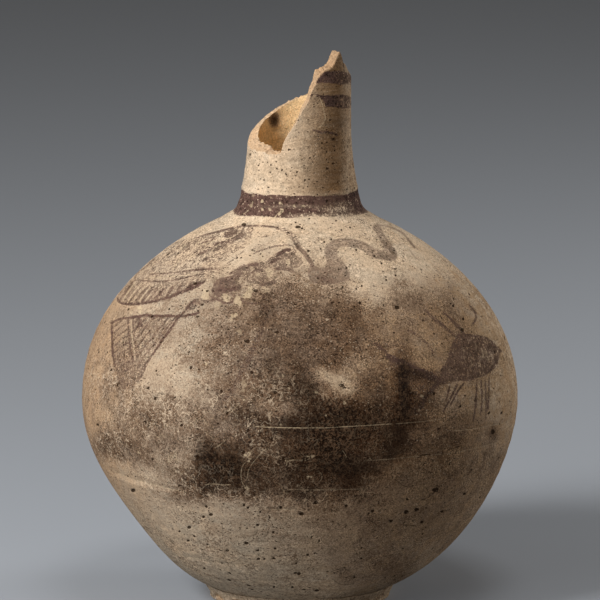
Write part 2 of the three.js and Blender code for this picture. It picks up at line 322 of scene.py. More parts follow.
WING = (
    Stroke(3.0, 0.95, (117.5, 298, 118.5, 301, 121.5, 303, 127, 304, 134, 304, 141, 303.5, 150, 302, 158,
                       300.5, 166, 298, 172, 296.5, 180, 293, 188, 290, 196, 287, 201, 283.5, 205, 281)),
    Stroke(3.8, 0.85, (171, 296, 177, 293.5, 183, 290.5)),
    Stroke(4.6, 0.97, (187, 288.5, 193, 286, 200, 283)),
    Stroke(1.4, 0.6, (117.5, 298, 120, 293, 124, 288, 130, 281.5, 135, 279.5)),
    Stroke(1.6, 0.86, (135, 280, 150, 281, 160, 281.5, 170, 280.5, 179, 279, 187.5, 277.3, 196, 275.3, 204,
                       274)),
    Stroke(1.7, 0.84, (149, 274.3, 160, 273.6, 170, 273, 182, 271.6, 194, 270, 206, 269, 213, 268.6, 220,
                       269.3)),
    Stroke(2.6, 0.9, (194, 270.2, 204, 269.4)),
    Stroke(1.3, 0.7, (175, 274.2, 186, 274.2, 197.5, 273, 208, 271.6, 215, 271)),
    Stroke(1.5, 0.7, (136, 274, 144, 268, 150, 263, 158, 254, 166, 248, 176, 243, 186, 239.5)),
    Stroke(2.0, 0.8, (119.5, 301.5, 126, 291, 133.5, 281.5)),
    Stroke(1.8, 0.8, (124.8, 302, 131, 292, 139.5, 282)),
    Stroke(1.9, 0.85, (129.6, 302, 136, 293, 143.5, 284.5)),
    Stroke(2.3, 0.85, (135, 302, 141, 294, 149, 286)),
    Stroke(3.0, 0.85, (141.5, 301.5, 146, 296, 153.5, 287)),
    Stroke(2.6, 0.82, (148, 300.5, 152.5, 295, 158, 287)),
    Stroke(3.4, 0.88, (154.5, 299, 158.5, 295, 163.5, 289)),
    Stroke(2.0, 0.7, (160, 298, 164, 291, 168, 284)),
    Stroke(2.8, 0.85, (166, 297, 169.5, 292, 173, 285)),
    Stroke(2.2, 0.7, (171.5, 291, 175, 286, 179, 281.5)),
    Stroke(2.2, 0.8, (177, 291, 180.5, 286, 184, 280.5)),
    Stroke(2.0, 0.7, (183.5, 288, 186, 283, 188, 279.5)),
    Stroke(2.0, 0.75, (189, 286, 191.5, 282, 193.5, 279)),
    Stroke(1.8, 0.7, (194.5, 284, 197, 280.5, 200, 277.5)),
    Stroke(5.0, 0.5, (145, 271, 150, 267, 156, 262)),
    Stroke(6.0, 0.52, (155, 264, 161, 258.5, 168, 253)),
    Stroke(6.5, 0.56, (168, 257, 174, 251, 181, 246)),
    Stroke(4.5, 0.52, (151, 271.5, 157, 268, 162, 263.5)),
    Stroke(4.5, 0.5, (163, 269.5, 168, 265, 174, 260)),
    Stroke(5.0, 0.52, (174.5, 269, 178, 263.5, 183, 258.5)),
    Stroke(8.0, 0.6, (181, 251.5, 187, 247, 193, 243)),
    Stroke(2.6, 0.62, (182.5, 268, 187, 264.5, 190, 260.5)),
    Stroke(5.6, 0.54, (184, 258.5, 190, 254, 195, 251)),
    Stroke(8.0, 0.62, (197, 243, 207, 239.4, 216, 235.5)),
    Stroke(2.0, 0.85, (197.5, 245, 207, 241.5, 215.5, 237.5)),
    Stroke(7.0, 0.62, (196, 254, 203, 250.6, 210, 247.5)),
    Stroke(2.0, 0.85, (198, 254.4, 204, 252, 208.5, 249.5)),
    Stroke(2.4, 0.85, (203, 260.5, 206.5, 258.8, 210, 257.5)),
    Stroke(6.6, 0.76, (212.5, 249.5, 219, 246.3, 226, 243)),
    Stroke(2.4, 0.92, (214, 244.4, 220, 242.6, 226, 242)),
    Stroke(4.6, 0.8, (228, 241.8, 236, 238, 243.5, 234.2)),
    Stroke(4.0, 0.7, (243, 229, 242, 234, 241, 239)),
    Stroke(6.0, 0.7, (245.5, 230.5, 252, 229.5)),
    Stroke(4.2, 0.45, (245, 235.5, 250.5, 237.5)),
    Stroke(3.4, 0.5, (233, 248, 243, 247.4)),
    Stroke(2.4, 0.5, (216, 258, 224, 254, 230, 249.5)),
    Stroke(2.0, 0.5, (226, 264, 233, 260, 240, 254, 245, 250)),
    Stroke(1.4, 0.6, (209, 263.5, 213, 258, 217, 253)),
    Stroke(2.3, 0.86, (196, 238, 210, 233.4, 222, 230.8, 235, 227.2, 250, 225.8, 266, 226.2, 278, 227.4)),
    Stroke(4.6, 0.66, (276, 227.6, 282, 229, 287.5, 231.4)),
    Stroke(6.4, 0.64, (285, 231, 291, 234.4, 294.5, 239, 297.5, 244.5, 300, 249)),
    Stroke(1.8, 0.74, (252.5, 254, 259, 251, 266, 249, 275, 246.3, 287.5, 245, 295, 247)),
    Stroke(4.0, 0.42, (254, 248, 262, 246, 270, 243)),
    Stroke(3.0, 0.4, (262, 237, 268, 236, 274, 238)),
)

BODY = (
    Stroke(9.0, 0.66, (270, 262, 279, 256.5, 288, 250.5)),
    Stroke(3.6, 0.95, (277, 255.5, 283, 251.5, 290, 249.5)),
    Stroke(3.0, 0.9, (270, 263.5, 275, 260, 280, 258.5)),
    Stroke(4.0, 0.72, (286, 256, 291, 255, 295, 251)),
    Stroke(3.4, 0.7, (290, 264, 297, 262, 301, 258)),
    Stroke(3.6, 0.85, (247, 268, 252, 265, 258, 264)),
    Stroke(3.0, 0.8, (252, 272.5, 257, 270, 262, 270)),
    Stroke(4.0, 0.75, (230, 273.5, 237, 270.5, 244, 265.5)),
    Stroke(3.4, 0.95, (216, 291, 222, 289.5, 230, 290, 238, 287)),
    Stroke(5.0, 0.85, (219, 285, 224, 281, 231, 278.5)),
    Stroke(5.0, 0.6, (259, 283, 267, 284, 276, 281)),
    Stroke(4.8, 0.96, (296, 245, 300, 249, 305, 254, 309, 259.5, 312.5, 265.5)),
    Stroke(6.5, 0.66, (243, 270, 251, 266.5, 262, 265.5)),
    Stroke(6.0, 0.5, (246, 277, 256, 274, 264, 277)),
    Stroke(5.0, 0.7, (276, 269, 285, 268, 293, 271)),
    Stroke(2.4, 0.8, (209, 295, 214, 298.5, 220, 300.5, 225, 303, 232, 302, 236, 297, 241, 294.5)),
    Stroke(2.2, 0.75, (240, 297, 244, 302, 251, 303.5, 262, 303)),
    Stroke(2.2, 0.7, (229, 289, 231, 294, 236, 296.5)),
    Stroke(8.0, 0.6, (187, 310, 194, 304, 200, 300.5)),
    Stroke(3.0, 0.9, (186.5, 309, 190.5, 304, 195, 299.5)),
    Stroke(4.0, 0.6, (199, 301, 207, 301.4, 214, 299.6)),
    Stroke(7.0, 0.4, (264, 292, 265, 306, 264, 322)),
    Stroke(6.5, 0.5, (264, 320, 258, 338, 247, 362, 238, 380, 224, 401)),
)

TAIL = (
    Stroke(2.5, 0.97, TAIL_OUTER),
    Stroke(2.9, 0.97, (111.7, 322.8, 117, 320, 122, 318.5, 130, 317.5, 139, 316.4, 146, 315.2, 153, 316,
                       168, 316, 181, 316.2, 190, 314.8, 199, 313)),
    Stroke(2.8, 0.95, (146, 315.4, 153, 316, 158, 316.2)),
    Stroke(3.2, 0.95, (111.4, 323, 113.4, 322.4)),
    Stroke(3.0, 0.9, (111.6, 331.5, 113, 332.5)),
    Stroke(2.1, 0.93, TAIL_MIDDLE),
    Stroke(1.8, 0.85, (132.8, 318, 133.5, 330, 134.5, 338, 136, 350, 137.5, 358)),
    Stroke(3.2, 0.55, (197, 299, 192, 303, 187, 309, 183, 313.5)),
    Stroke(2.8, 0.96, (184, 312, 178, 318, 175, 322, 172, 327, 168, 333, 163, 339, 159, 345, 155, 351, 152,
                       355)),
    Stroke(2.2, 0.75, (152, 355, 149, 360, 145, 367, 142, 374, 139, 381)),
    Stroke(1.8, 0.65, (148, 360, 143, 368, 139, 376, 136.5, 384)),
    Stroke(3.2, 0.9, (138.6, 317, 140, 321, 138.3, 326, 135.5, 329.5)),
    Stroke(2.8, 0.85, (138, 326.6, 142, 325.2, 142.4, 328.5)),
    Stroke(2.2, 0.75, (162, 329.5, 162.4, 335)),
    Stroke(2.0, 0.45, (118, 366, 121, 376, 124, 390)),
    Stroke(2.0, 0.4, (129, 366, 130, 378, 129, 388)),
    Stroke(12.0, 0.5, (121, 366, 128, 374, 131, 386)),
    Stroke(1.4, 0.7, (123, 389, 129, 384, 136, 379)),
    Stroke(1.4, 0.6, (119, 383, 124, 378, 131, 371)),
)

NECK_OF_THE_BIRD = (
    Stroke(3.0, 0.85, (312, 277.5, 319, 276.3, 325, 279.5)),
    Stroke(5.0, 0.82, (329, 248, 329.5, 252, 331.5, 257)),
    Stroke(4.6, 0.85, (379, 255.5, 385, 257.4, 391, 257.2, 395, 254)),
    Stroke(4.4, 0.82, (384, 242, 388, 246, 391.5, 250)),
    Stroke(3.0, 0.7, (333, 240.6, 345, 239.6, 357, 241, 367, 244.6)),
    Stroke(5.0, 0.34, (330, 262, 336, 270, 341, 277)),
    Stroke(3.0, 0.7, (313, 281, 322, 282.5, 331, 281)),
    Stroke(1.6, 0.75, (376, 224.8, 388, 226.5, 396, 229.5, 403, 233.5, 408, 239, 413, 245, 418, 249.5)),
    Stroke(2.3, 0.92, (407.5, 239.5, 411, 243, 415, 248)),
    Stroke(1.3, 0.6, (409, 249, 414, 256, 419, 260)),
    Stroke(3.6, 0.35, (381, 232, 388, 238)),
    Stroke(1.5, 0.4, (421, 250, 429, 260, 437.5, 270, 446, 281, 454, 293)),
    Stroke(1.4, 0.38, (430, 264, 438, 272, 446.5, 281, 453, 290, 458, 299)),
    Stroke(1.2, 0.35, (426, 250, 434, 260, 442, 270, 451, 282, 459, 294)),
)

BUD = (
    Stroke(2.4, 0.86, (458, 335.6, 468, 334.6, 478, 336, 486, 338, 493, 343, 499, 350.5)),
    Stroke(3.4, 0.86, (498.5, 352, 496.5, 362, 491, 369.5, 483, 375)),
    Stroke(2.4, 0.9, (493, 344.5, 498, 348.5, 501.5, 351.6)),
    Stroke(5.0, 0.5, (447, 378, 449, 369, 453, 357, 458, 345)),
    Stroke(7.0, 0.72, (472, 341, 469, 352, 465, 364, 461, 376)),
    Stroke(4.0, 0.85, (478, 341, 486, 345, 493, 352)),
    Stroke(2.6, 0.8, (443, 312, 449, 317.5, 455, 324, 462, 331.5, 467, 337)),
    Stroke(2.0, 0.75, (450, 318, 455, 322.5, 461, 328.5)),
    Stroke(3.4, 0.7, (425, 310, 433, 318, 440, 324, 447, 330)),
    Stroke(3.6, 0.66, (436, 319, 447, 329, 458, 338)),
    Stroke(3.2, 0.64, (408, 330, 418, 336, 428, 345, 434, 354)),
    Stroke(2.4, 0.82, (469, 304.5, 474.6, 311.6, 476, 318, 472, 325.5)),
    Stroke(2.0, 0.88, (477, 380, 476.2, 395, 475.2, 410, 473, 421)),
    Stroke(2.0, 0.84, (481, 380, 482, 393, 481.6, 406, 480, 420)),
    Stroke(2.0, 0.8, (485, 379, 486, 398, 486, 419)),
    Stroke(2.1, 0.86, (489, 377, 488.8, 392, 488, 410)),
    Stroke(2.4, 0.9, (464, 383, 458, 391, 454, 398, 450.5, 405)),
    Stroke(2.5, 0.92, (457.5, 384, 453, 393.5, 448.5, 402, 443, 412)),
    Stroke(2.2, 0.86, (450, 385, 448, 393, 445.5, 402)),
    Stroke(2.2, 0.7, (437, 383.4, 445, 383.2, 452, 382.6)),
    Stroke(8.0, 0.9, (388, 356, 395, 360, 402, 363, 410, 368, 419, 372, 429, 376, 439, 380)),
    Stroke(5.0, 0.93, (438, 382.5, 433, 389, 428, 394, 424, 400, 420, 408, 412, 414.5)),
    Stroke(9.0, 0.92, (402, 364, 402.6, 377, 403, 386, 403.6, 398, 406, 412)),
    Stroke(4.0, 0.99, (401, 372, 402.4, 384, 402.6, 396, 404, 405)),
    Stroke(3.2, 0.97, (392, 357.5, 398, 361, 404, 364.5)),
    Stroke(3.2, 0.97, (421, 369, 428, 372.6, 435, 376, 438, 380)),
    Stroke(4.0, 0.75, (375, 343, 381, 348, 387, 353)),
    Stroke(2.4, 0.6, (384, 342.5, 388, 347)),
)

NECK_MARKS = (
    Stroke(2.6, 0.82, (313, 130, 320, 132, 329, 132.4, 338, 135)),
)

FILLS = (
    Fill(0.45, (118, 297, 124, 287, 136, 274, 150, 259, 167, 247, 198, 236, 224, 229.5, 246, 227, 252, 238,
                236, 252, 219, 266, 206, 280, 185, 290, 168, 297, 146, 303, 127, 304)),
    Fill(0.24, (112, 323, 130, 317.5, 153, 316, 181, 316.5, 168, 333, 152, 355, 142, 374, 124, 388, 114,
                364)),
    Fill(0.52, (114, 356, 122, 352, 132, 352, 140, 358, 146, 366, 142, 378, 132, 388, 122, 389, 117, 376)),
    Fill(0.74, (211, 291, 213, 286, 216, 281, 221, 277.5, 226, 276.5, 231, 275.5, 237, 272.5, 242, 268,
                242.5, 273, 238.5, 281, 242, 287.5, 236, 291.5, 230, 290, 225, 293.5, 219.5, 297.5, 214,
                295)),
    Fill(0.8, (222.5, 236.5, 226, 231, 231, 229.4, 237.5, 229.3, 236.5, 233.5, 229, 238)),
    Fill(0.58, (268, 262, 276, 254, 285, 248.5, 294, 248.5, 298, 256, 303, 262, 298, 268, 290, 268, 283,
                266, 274, 267)),
    Fill(0.5, (239, 272, 248, 264, 262, 261, 270, 263, 268, 274, 262, 283, 252, 284, 245, 281)),
    Fill(0.68, (311, 265, 320, 267.5, 325, 267, 326.5, 262, 325, 256, 324.5, 250, 327, 245, 332, 241, 340,
                239.5, 350, 239.3, 358, 241, 368, 244.5, 376, 249, 384, 249.5, 381, 243, 378, 237, 375.5,
                232, 373, 229.5, 373, 226, 376, 224.5, 381, 226, 382.5, 231, 386, 237, 391, 243, 395, 249,
                397.5, 255, 396, 259.5, 390, 261, 381, 259.5, 372, 257, 366, 252.5, 358, 248.5, 350, 247,
                341, 247, 337.5, 250, 337.5, 256, 342, 260, 346, 266, 349.5, 273, 349, 279, 343, 282, 334,
                284, 326, 285, 318, 284, 310, 281, 308, 272)),
    Fill(0.78, (457, 336, 459, 333.5, 468, 334, 476, 336, 483, 336, 490, 340, 496, 345, 500, 351, 499, 357,
                496, 364, 492, 369, 486, 375, 478, 378, 470, 381, 460, 381, 450, 382, 440, 383, 440, 371,
                446, 362, 449, 352, 452, 343)),
    Fill(0.5, (388, 364, 389, 361.5, 395, 357, 403, 359, 412, 362, 420, 368, 430, 371, 440, 370.5, 441, 382,
                436, 388, 430, 394, 425, 400, 421, 408, 414, 415, 408, 419, 402.5, 418, 401, 405, 401, 390,
                400, 378, 394, 370)),
)

# Places that stand out pale or white from the clay and the paint: column, row, radius and lightness.
SPOTS = (
    (205.5, 295, 5, 0.5), (226, 297.7, 4.4, 0.62), (237.7, 300.8, 4.8, 0.66), (247.3, 295, 4.4, 0.6),
    (250.5, 289.6, 3.6, 0.5), (217.5, 305, 4, 0.3), (265, 290, 4.4, 0.25), (237.5, 283, 3, 0.15),
    (269.5, 272.5, 4.6, 0.4), (288, 262.5, 2.8, 0.4), (262, 257, 4, 0.25), (252, 268, 2.2, 0.35),
    (258, 274.5, 2, 0.35), (233, 316, 2.4, 0.6), (236, 314.6, 1.8, 0.65), (231.5, 320, 1.6, 0.5),
    (239.5, 331.5, 2.4, 0.35), (140, 308, 2.2, 0.9), (140, 312, 1.5, 0.8), (131, 313, 1.4, 0.6),
    (206, 364, 1.6, 0.5), (244, 384, 3.6, 0.26), (243, 390, 2.4, 0.24), (244, 400, 1, 0.7),
    (139, 453, 1.7, 0.5), (172, 456, 3.6, 0.26), (169, 461, 2.6, 0.22), (177, 460, 2, 0.3),
    (245, 454.5, 1.6, 0.7), (249, 452.5, 1.2, 0.7), (249, 461, 1.2, 0.7), (247, 488.5, 2, 0.55),
    (181, 473.5, 1.4, 0.55), (285, 460, 1.2, 0.6), (286.5, 464, 1, 0.6), (312, 456, 1.6, 0.4),
    (308.5, 477, 1.6, 0.7), (316, 392.5, 1.6, 0.35), (344.5, 403, 1.8, 0.45), (422, 396, 1.8, 0.45),
    (419, 410, 1.2, 0.4), (485, 352, 2.4, 0.2), (488, 359, 2, 0.2), (481, 357, 1.6, 0.2),
    (166, 484, 1.2, 0.5), (283, 376, 1.4, 0.35), (289, 388, 1.2, 0.4), (297, 373, 0.9, 0.4),
    (370, 458, 0.9, 0.4), (326, 415, 1.2, 0.35), (281, 424.6, 1.4, 0.4), (282, 210.5, 1.8, 0.9),
    (280.5, 212.5, 1.5, 0.9), (279, 214.5, 1.1, 0.9), (262.2, 201.3, 1.4, 0.85), (269.8, 209.6, 1.3, 0.9),
    (262.2, 209.8, 0.9, 0.7), (280, 203, 1, 0.8), (294, 205.8, 0.9, 0.7), (303, 205.8, 0.9, 0.6),
    (253.3, 195.6, 1.2, 0.4), (251, 205.8, 1.7, 0.45), (286.4, 196.8, 0.8, 0.5), (271, 197.5, 0.8, 0.4),
    (290, 213, 0.8, 0.4),
)

# Pits that the photograph shows: column, row, radius, and how far each is drawn out along its row.
PITS = (
    (244, 224.5, 1.3, 1.6), (298, 227, 1.2, 2), (302, 228.5, 0.8, 1.4), (324.5, 242, 0.9, 1),
    (321, 249, 0.8, 1), (308.5, 251, 0.9, 1.4), (331.5, 239.5, 0.8, 1), (341.5, 230, 0.8, 1),
    (350, 227.5, 0.8, 1), (356.5, 250, 0.9, 1), (375, 256, 0.8, 1), (382, 263.5, 0.9, 1),
    (386.5, 280, 0.9, 1), (396, 275.5, 0.9, 1), (347, 268, 0.8, 1), (343, 287, 0.9, 1), (362, 286, 0.9, 1),
    (356.5, 289, 0.8, 1), (394.5, 250.5, 0.8, 1), (397.5, 307.5, 1.7, 1.2), (453.5, 306, 1.1, 1),
    (451, 304, 0.8, 1), (463.5, 319, 1.2, 1), (462.5, 330, 1.6, 1), (169, 309, 1.1, 0.7),
    (111, 370, 0.9, 1), (156, 371, 0.9, 1), (155, 398.5, 1.3, 1), (148, 388, 0.8, 2), (175, 397.5, 0.9, 1),
    (189, 352, 0.9, 1), (256, 291, 1.3, 1.2), (207, 291, 0.9, 1.4), (195, 283.5, 1.1, 1.6),
    (237, 258, 0.8, 1), (460.5, 407, 1.1, 1), (489, 413, 1, 1), (502, 413, 0.9, 1), (342, 385.5, 1.3, 1.8),
    (344.5, 388, 1.1, 1.6), (493, 432, 2.2, 0.7), (247.5, 341.5, 1.4, 1.4), (221.5, 391.5, 1.2, 1),
    (127, 476, 0.8, 1), (133, 490.5, 1.6, 1.2), (117.5, 428.5, 1, 1), (97.5, 424.5, 0.9, 1),
    (145, 422.5, 1, 1.4), (227, 414, 1.2, 1), (248, 431, 1.2, 1.2), (243.5, 452.5, 1.7, 1),
    (212, 459.5, 0.8, 1), (284, 459, 1.8, 1), (304, 461.5, 1.2, 1), (328, 470.5, 1.1, 1), (272, 439, 1, 1),
    (261, 474.5, 1, 1), (362, 469, 0.9, 1), (346, 424.5, 1, 1.6), (435.5, 490, 1.8, 1.7),
    (464.5, 494, 1.1, 1.2), (406.5, 512, 1.7, 1.2), (417, 509.5, 1.4, 1.5), (391, 521, 1.2, 1.7),
    (407.5, 499.3, 1, 1.2), (361.5, 516.6, 0.8, 1), (346.5, 506, 1.2, 1), (372.7, 511, 1.1, 1.4),
    (316, 503, 1.3, 1.5), (301.5, 514, 1.4, 1.5), (260.2, 512, 0.9, 1), (269.7, 517.5, 0.9, 1),
    (210.8, 514.7, 1.2, 1.5), (203.4, 517, 1.1, 1.2), (189, 527.5, 1.2, 1.4), (179.3, 531.5, 0.9, 1),
    (188, 540.6, 0.9, 1.4), (247, 528.5, 0.8, 1), (257.7, 525, 1, 1.4), (273.4, 532.4, 1, 1),
    (246.4, 543.4, 1.2, 1.6), (227.3, 550.6, 1, 1.4), (258, 550.6, 0.8, 1.4), (275.2, 548.4, 0.9, 1.4),
    (258.5, 559, 1, 1.5), (264.4, 559, 0.8, 1.2), (273.7, 558.4, 0.9, 1.4), (299, 573.7, 1.3, 1.2),
    (295.5, 573, 0.8, 2), (296.4, 563.3, 0.8, 1), (292.5, 587.3, 0.9, 1.2), (307.8, 554.9, 1, 1.2),
    (315, 553.4, 0.8, 1.2), (319.4, 541, 0.8, 1), (312, 537, 0.9, 0.8), (354.5, 577, 1.2, 0.7),
    (361.5, 558.4, 0.9, 1), (361.7, 548, 0.8, 1), (442, 511.5, 1, 1.6), (422, 522, 1.1, 1.4),
    (204.2, 568.5, 0.8, 1.2), (317, 590.5, 1, 2), (274, 587, 0.9, 1), (244, 505.3, 1, 1.2),
    (248, 507.8, 0.9, 1.2), (275, 492.8, 0.9, 1.4), (289.5, 491.5, 0.9, 1.4), (282, 170, 0.9, 1),
    (271, 165, 0.8, 1), (297, 172, 0.8, 1), (322, 143, 0.8, 1), (310, 158, 0.8, 1), (264, 180, 0.7, 1),
    (330, 120, 0.8, 1), (336, 104, 0.7, 1), (305, 180, 0.8, 1),
)


# The two hatched fields of the tail: their outlines, and for each run of strokes how far one column and one
# row move the running count, and the count's start.
Hatch = namedtuple("Hatch", "column row start")
LEFT_FIELD = (
    112.6, 324, 120, 320.5, 128, 319, 128.7, 330, 129.7, 340, 131.2, 350, 133, 362, 134, 372, 117, 372,
    114.5, 364, 113.4, 356, 112.6, 346, 112.4, 334,
)
RIGHT_FIELD = (
    133.5, 319, 139, 317.5, 153, 317, 181, 317.5, 172, 327, 163, 339, 155, 351, 149, 360, 143, 371, 139,
    368, 136.5, 352, 134.5, 338,
)
LEFT_STROKES = Hatch(0.118, 0.1515, 0)
RIGHT_STROKES = Hatch(0.135, 0.109, -0.3)
CROSS_STROKES = Hatch(0.118, -0.045, 0.3)

# The line between the two fields: its column at one row, and its lean. The left field's strokes bow upwards:
# the bow's first column, its width and its rise.
FIELDS_MIDDLE = 131.5
FIELDS_ROW = 340
FIELDS_LEAN = 0.12
BOW_START = 112
BOW_WIDTH = 17
BOW_RISE = 1.5

# The first and last column and the first and last row of the part of the photograph that holds both fields.
FIELDS_FRAME = (100, 190, 305, 385)


def hatched(points):
    """Two running counts that pass a whole number along the middle of each hatching stroke, and the signed
    depth inside the hatched fields in millimetres."""
    column, row = seen_at(points)
    bow = np.sin(np.clip((column - BOW_START) / BOW_WIDTH, 0, 1) * np.pi)
    runs = (LEFT_STROKES, RIGHT_STROKES, CROSS_STROKES)
    counts = [run.start + run.column * column + run.row * row for run in runs]
    left = column < FIELDS_MIDDLE + (row - FIELDS_ROW) * FIELDS_LEAN
    up = np.where(left, counts[0] + BOW_RISE * bow * LEFT_STROKES.row, counts[1])
    down = np.where(left, BETWEEN_STROKES, counts[2])
    first, last, top, bottom = FIELDS_FRAME
    near = (column > first) & (column < last) & (row > top) & (row < bottom)
    near = near & (facing_share(points) > SEEN_SHARE)
    depth = np.full(column.shape, FAR_OUTSIDE)
    places = column[near], row[near]
    outlines = [smooth_path(field, closed=True) for field in (LEFT_FIELD, RIGHT_FIELD)]
    fields = [inside_depth(*places, outline) for outline in outlines]
    depth[near] = np.maximum(*fields) * PHOTO_PIXEL
    return up, down, depth


# Stains as soft ovals in the photograph's frame: centre, half width, half height, turn in degrees, strength.
Stain = namedtuple("Stain", "column row wide high turn strength")
STAINS = (
    Stain(252, 390, 225, 114, 0, 0.39),
    Stain(440, 480, 80, 70, 0, 0.27),
    Stain(350, 528, 120, 30, 0, 0.12),
    Stain(250, 285, 60, 22, -25, 0.14),
    Stain(304, 354, 70, 52, 0, 0.4),
    Stain(282, 302, 32, 14, -8, 0.2),
    Stain(265, 312, 8, 22, 0, 0.3),
    Stain(298, 297, 32, 19, 0, 0.22),
    Stain(335, 440, 78, 56, 0, 0.86),
    Stain(376, 444, 36, 42, 0, 0.4),
    Stain(332, 438, 36, 32, 0, 0.92),
    Stain(362, 458, 26, 18, -6, 0.3),
    Stain(302, 394, 16, 24, 10, 0.3),
    Stain(300, 472, 38, 15, 0, 0.48),
    Stain(222, 467, 39, 28, -8, 0.84),
    Stain(219, 465, 23, 16, 0, 0.92),
    Stain(204, 482, 26, 11, 4, 0.5),
    Stain(236, 420, 32, 17, 0, 0.32),
    Stain(204, 436, 14, 16, 0, 0.24),
    Stain(404, 394, 8, 36, 0, 0.85),
    Stain(402, 428, 13, 16, 0, 0.5),
    Stain(420, 375, 20, 7, 18, 0.6),
    Stain(424, 396, 12, 7, -50, 0.35),
    Stain(336, 490, 56, 11, -2, 0.24),
    Stain(258, 488, 44, 10, 4, 0.4),
    Stain(438, 425, 26, 16, -10, 0.12),
    Stain(493, 432, 5, 8, 0, 0.4),
    Stain(424, 322, 46, 42, 15, 0.14),
    Stain(338, 322, 24, 22, 0, 0.26),
    Stain(428, 300, 34, 16, 10, 0.2),
    Stain(374, 300, 26, 20, 0, 0.12),
    Stain(328, 438, 22, 26, 0, 0.9),
    Stain(412, 406, 20, 12, 0, 0.2),
    Stain(238, 462, 24, 16, 0, 0.18),
    Stain(460, 325, 26, 22, 20, 0.12),
    Stain(150, 416, 22, 14, -20, 0.36),
    Stain(128, 450, 26, 12, 20, 0.4),
    Stain(166, 442, 16, 10, 10, 0.3),
    Stain(104, 446, 10, 16, 10, 0.4),
    Stain(180, 497, 16, 7, 15, 0.6),
    Stain(120, 384, 12, 18, 0, 0.14),
    Stain(344, 576, 12, 10, 0, 0.3),
    Stain(362, 556, 50, 24, 0, 0.12),
    Stain(378, 472, 24, 16, 0, 0.3),
    Stain(384, 572, 26, 14, -20, 0.3),
    Stain(328, 200, 16, 8, 0, 0.4),
)

WORN = (
    Stain(366, 453, 15, 12, 0, 0.16),
    Stain(382, 506, 26, 14, 0, 0.24),
    Stain(186, 456, 10, 14, 0, 0.34),
    Stain(226, 430, 16, 8, 0, 0.26),
    Stain(424, 436, 14, 9, 0, 0.26),
    Stain(404, 478, 28, 24, -10, 0.5),
    Stain(284, 408, 20, 9, 0, 0.28),
    Stain(372, 364, 18, 14, 10, 0.3),
    Stain(206, 508, 34, 8, 4, 0.4),
    Stain(452, 396, 14, 14, 0, 0.35),
    Stain(343, 386, 18, 12, 10, 0.88),
    Stain(322, 376, 12, 7, 15, 0.6),
    Stain(349, 366, 14, 8, 0, 0.4),
    Stain(247, 455, 7, 6, 0, 0.25),
    Stain(424, 345, 18, 10, 0, 0.25),
    Stain(168, 370, 30, 26, 0, 0.45),
    Stain(500, 330, 26, 80, -12, 0.8),
    Stain(420, 250, 38, 18, 25, 0.8),
    Stain(140, 478, 45, 8, 22, 0.45),
    Stain(372, 280, 24, 18, 0, 0.6),
    Stain(465, 388, 16, 12, 0, 0.25),
)

NECK_STAINS = (
    Stain(326, 140, 14, 12, 0, 0.2),
    Stain(324, 180, 18, 22, 0, 0.24),
    Stain(338, 120, 12, 12, 0, 0.2),
)

# The dark spot inside the neck, the worn places of the collar's dark band, and the outline of the flake scar
# on the shard.
INNER_SPOT = Stain(275, 119, 4.8, 8, 8, 0.8)
COLLAR_WORN = (
    Stain(336, 209, 15, 4, 5, 0.42),
    Stain(328, 216, 34, 2.4, 0, 0.5),
    Stain(292, 206.5, 34, 1.8, 0, 0.24),
    Stain(338, 203, 14, 1.8, 0, 0.3),
)
FLAKE_SCAR = (
    302, 120, 304, 110, 308, 100, 313, 95, 319, 97, 324, 102, 325.6, 110, 325, 118, 320, 127, 313, 131,
    306, 130,
)

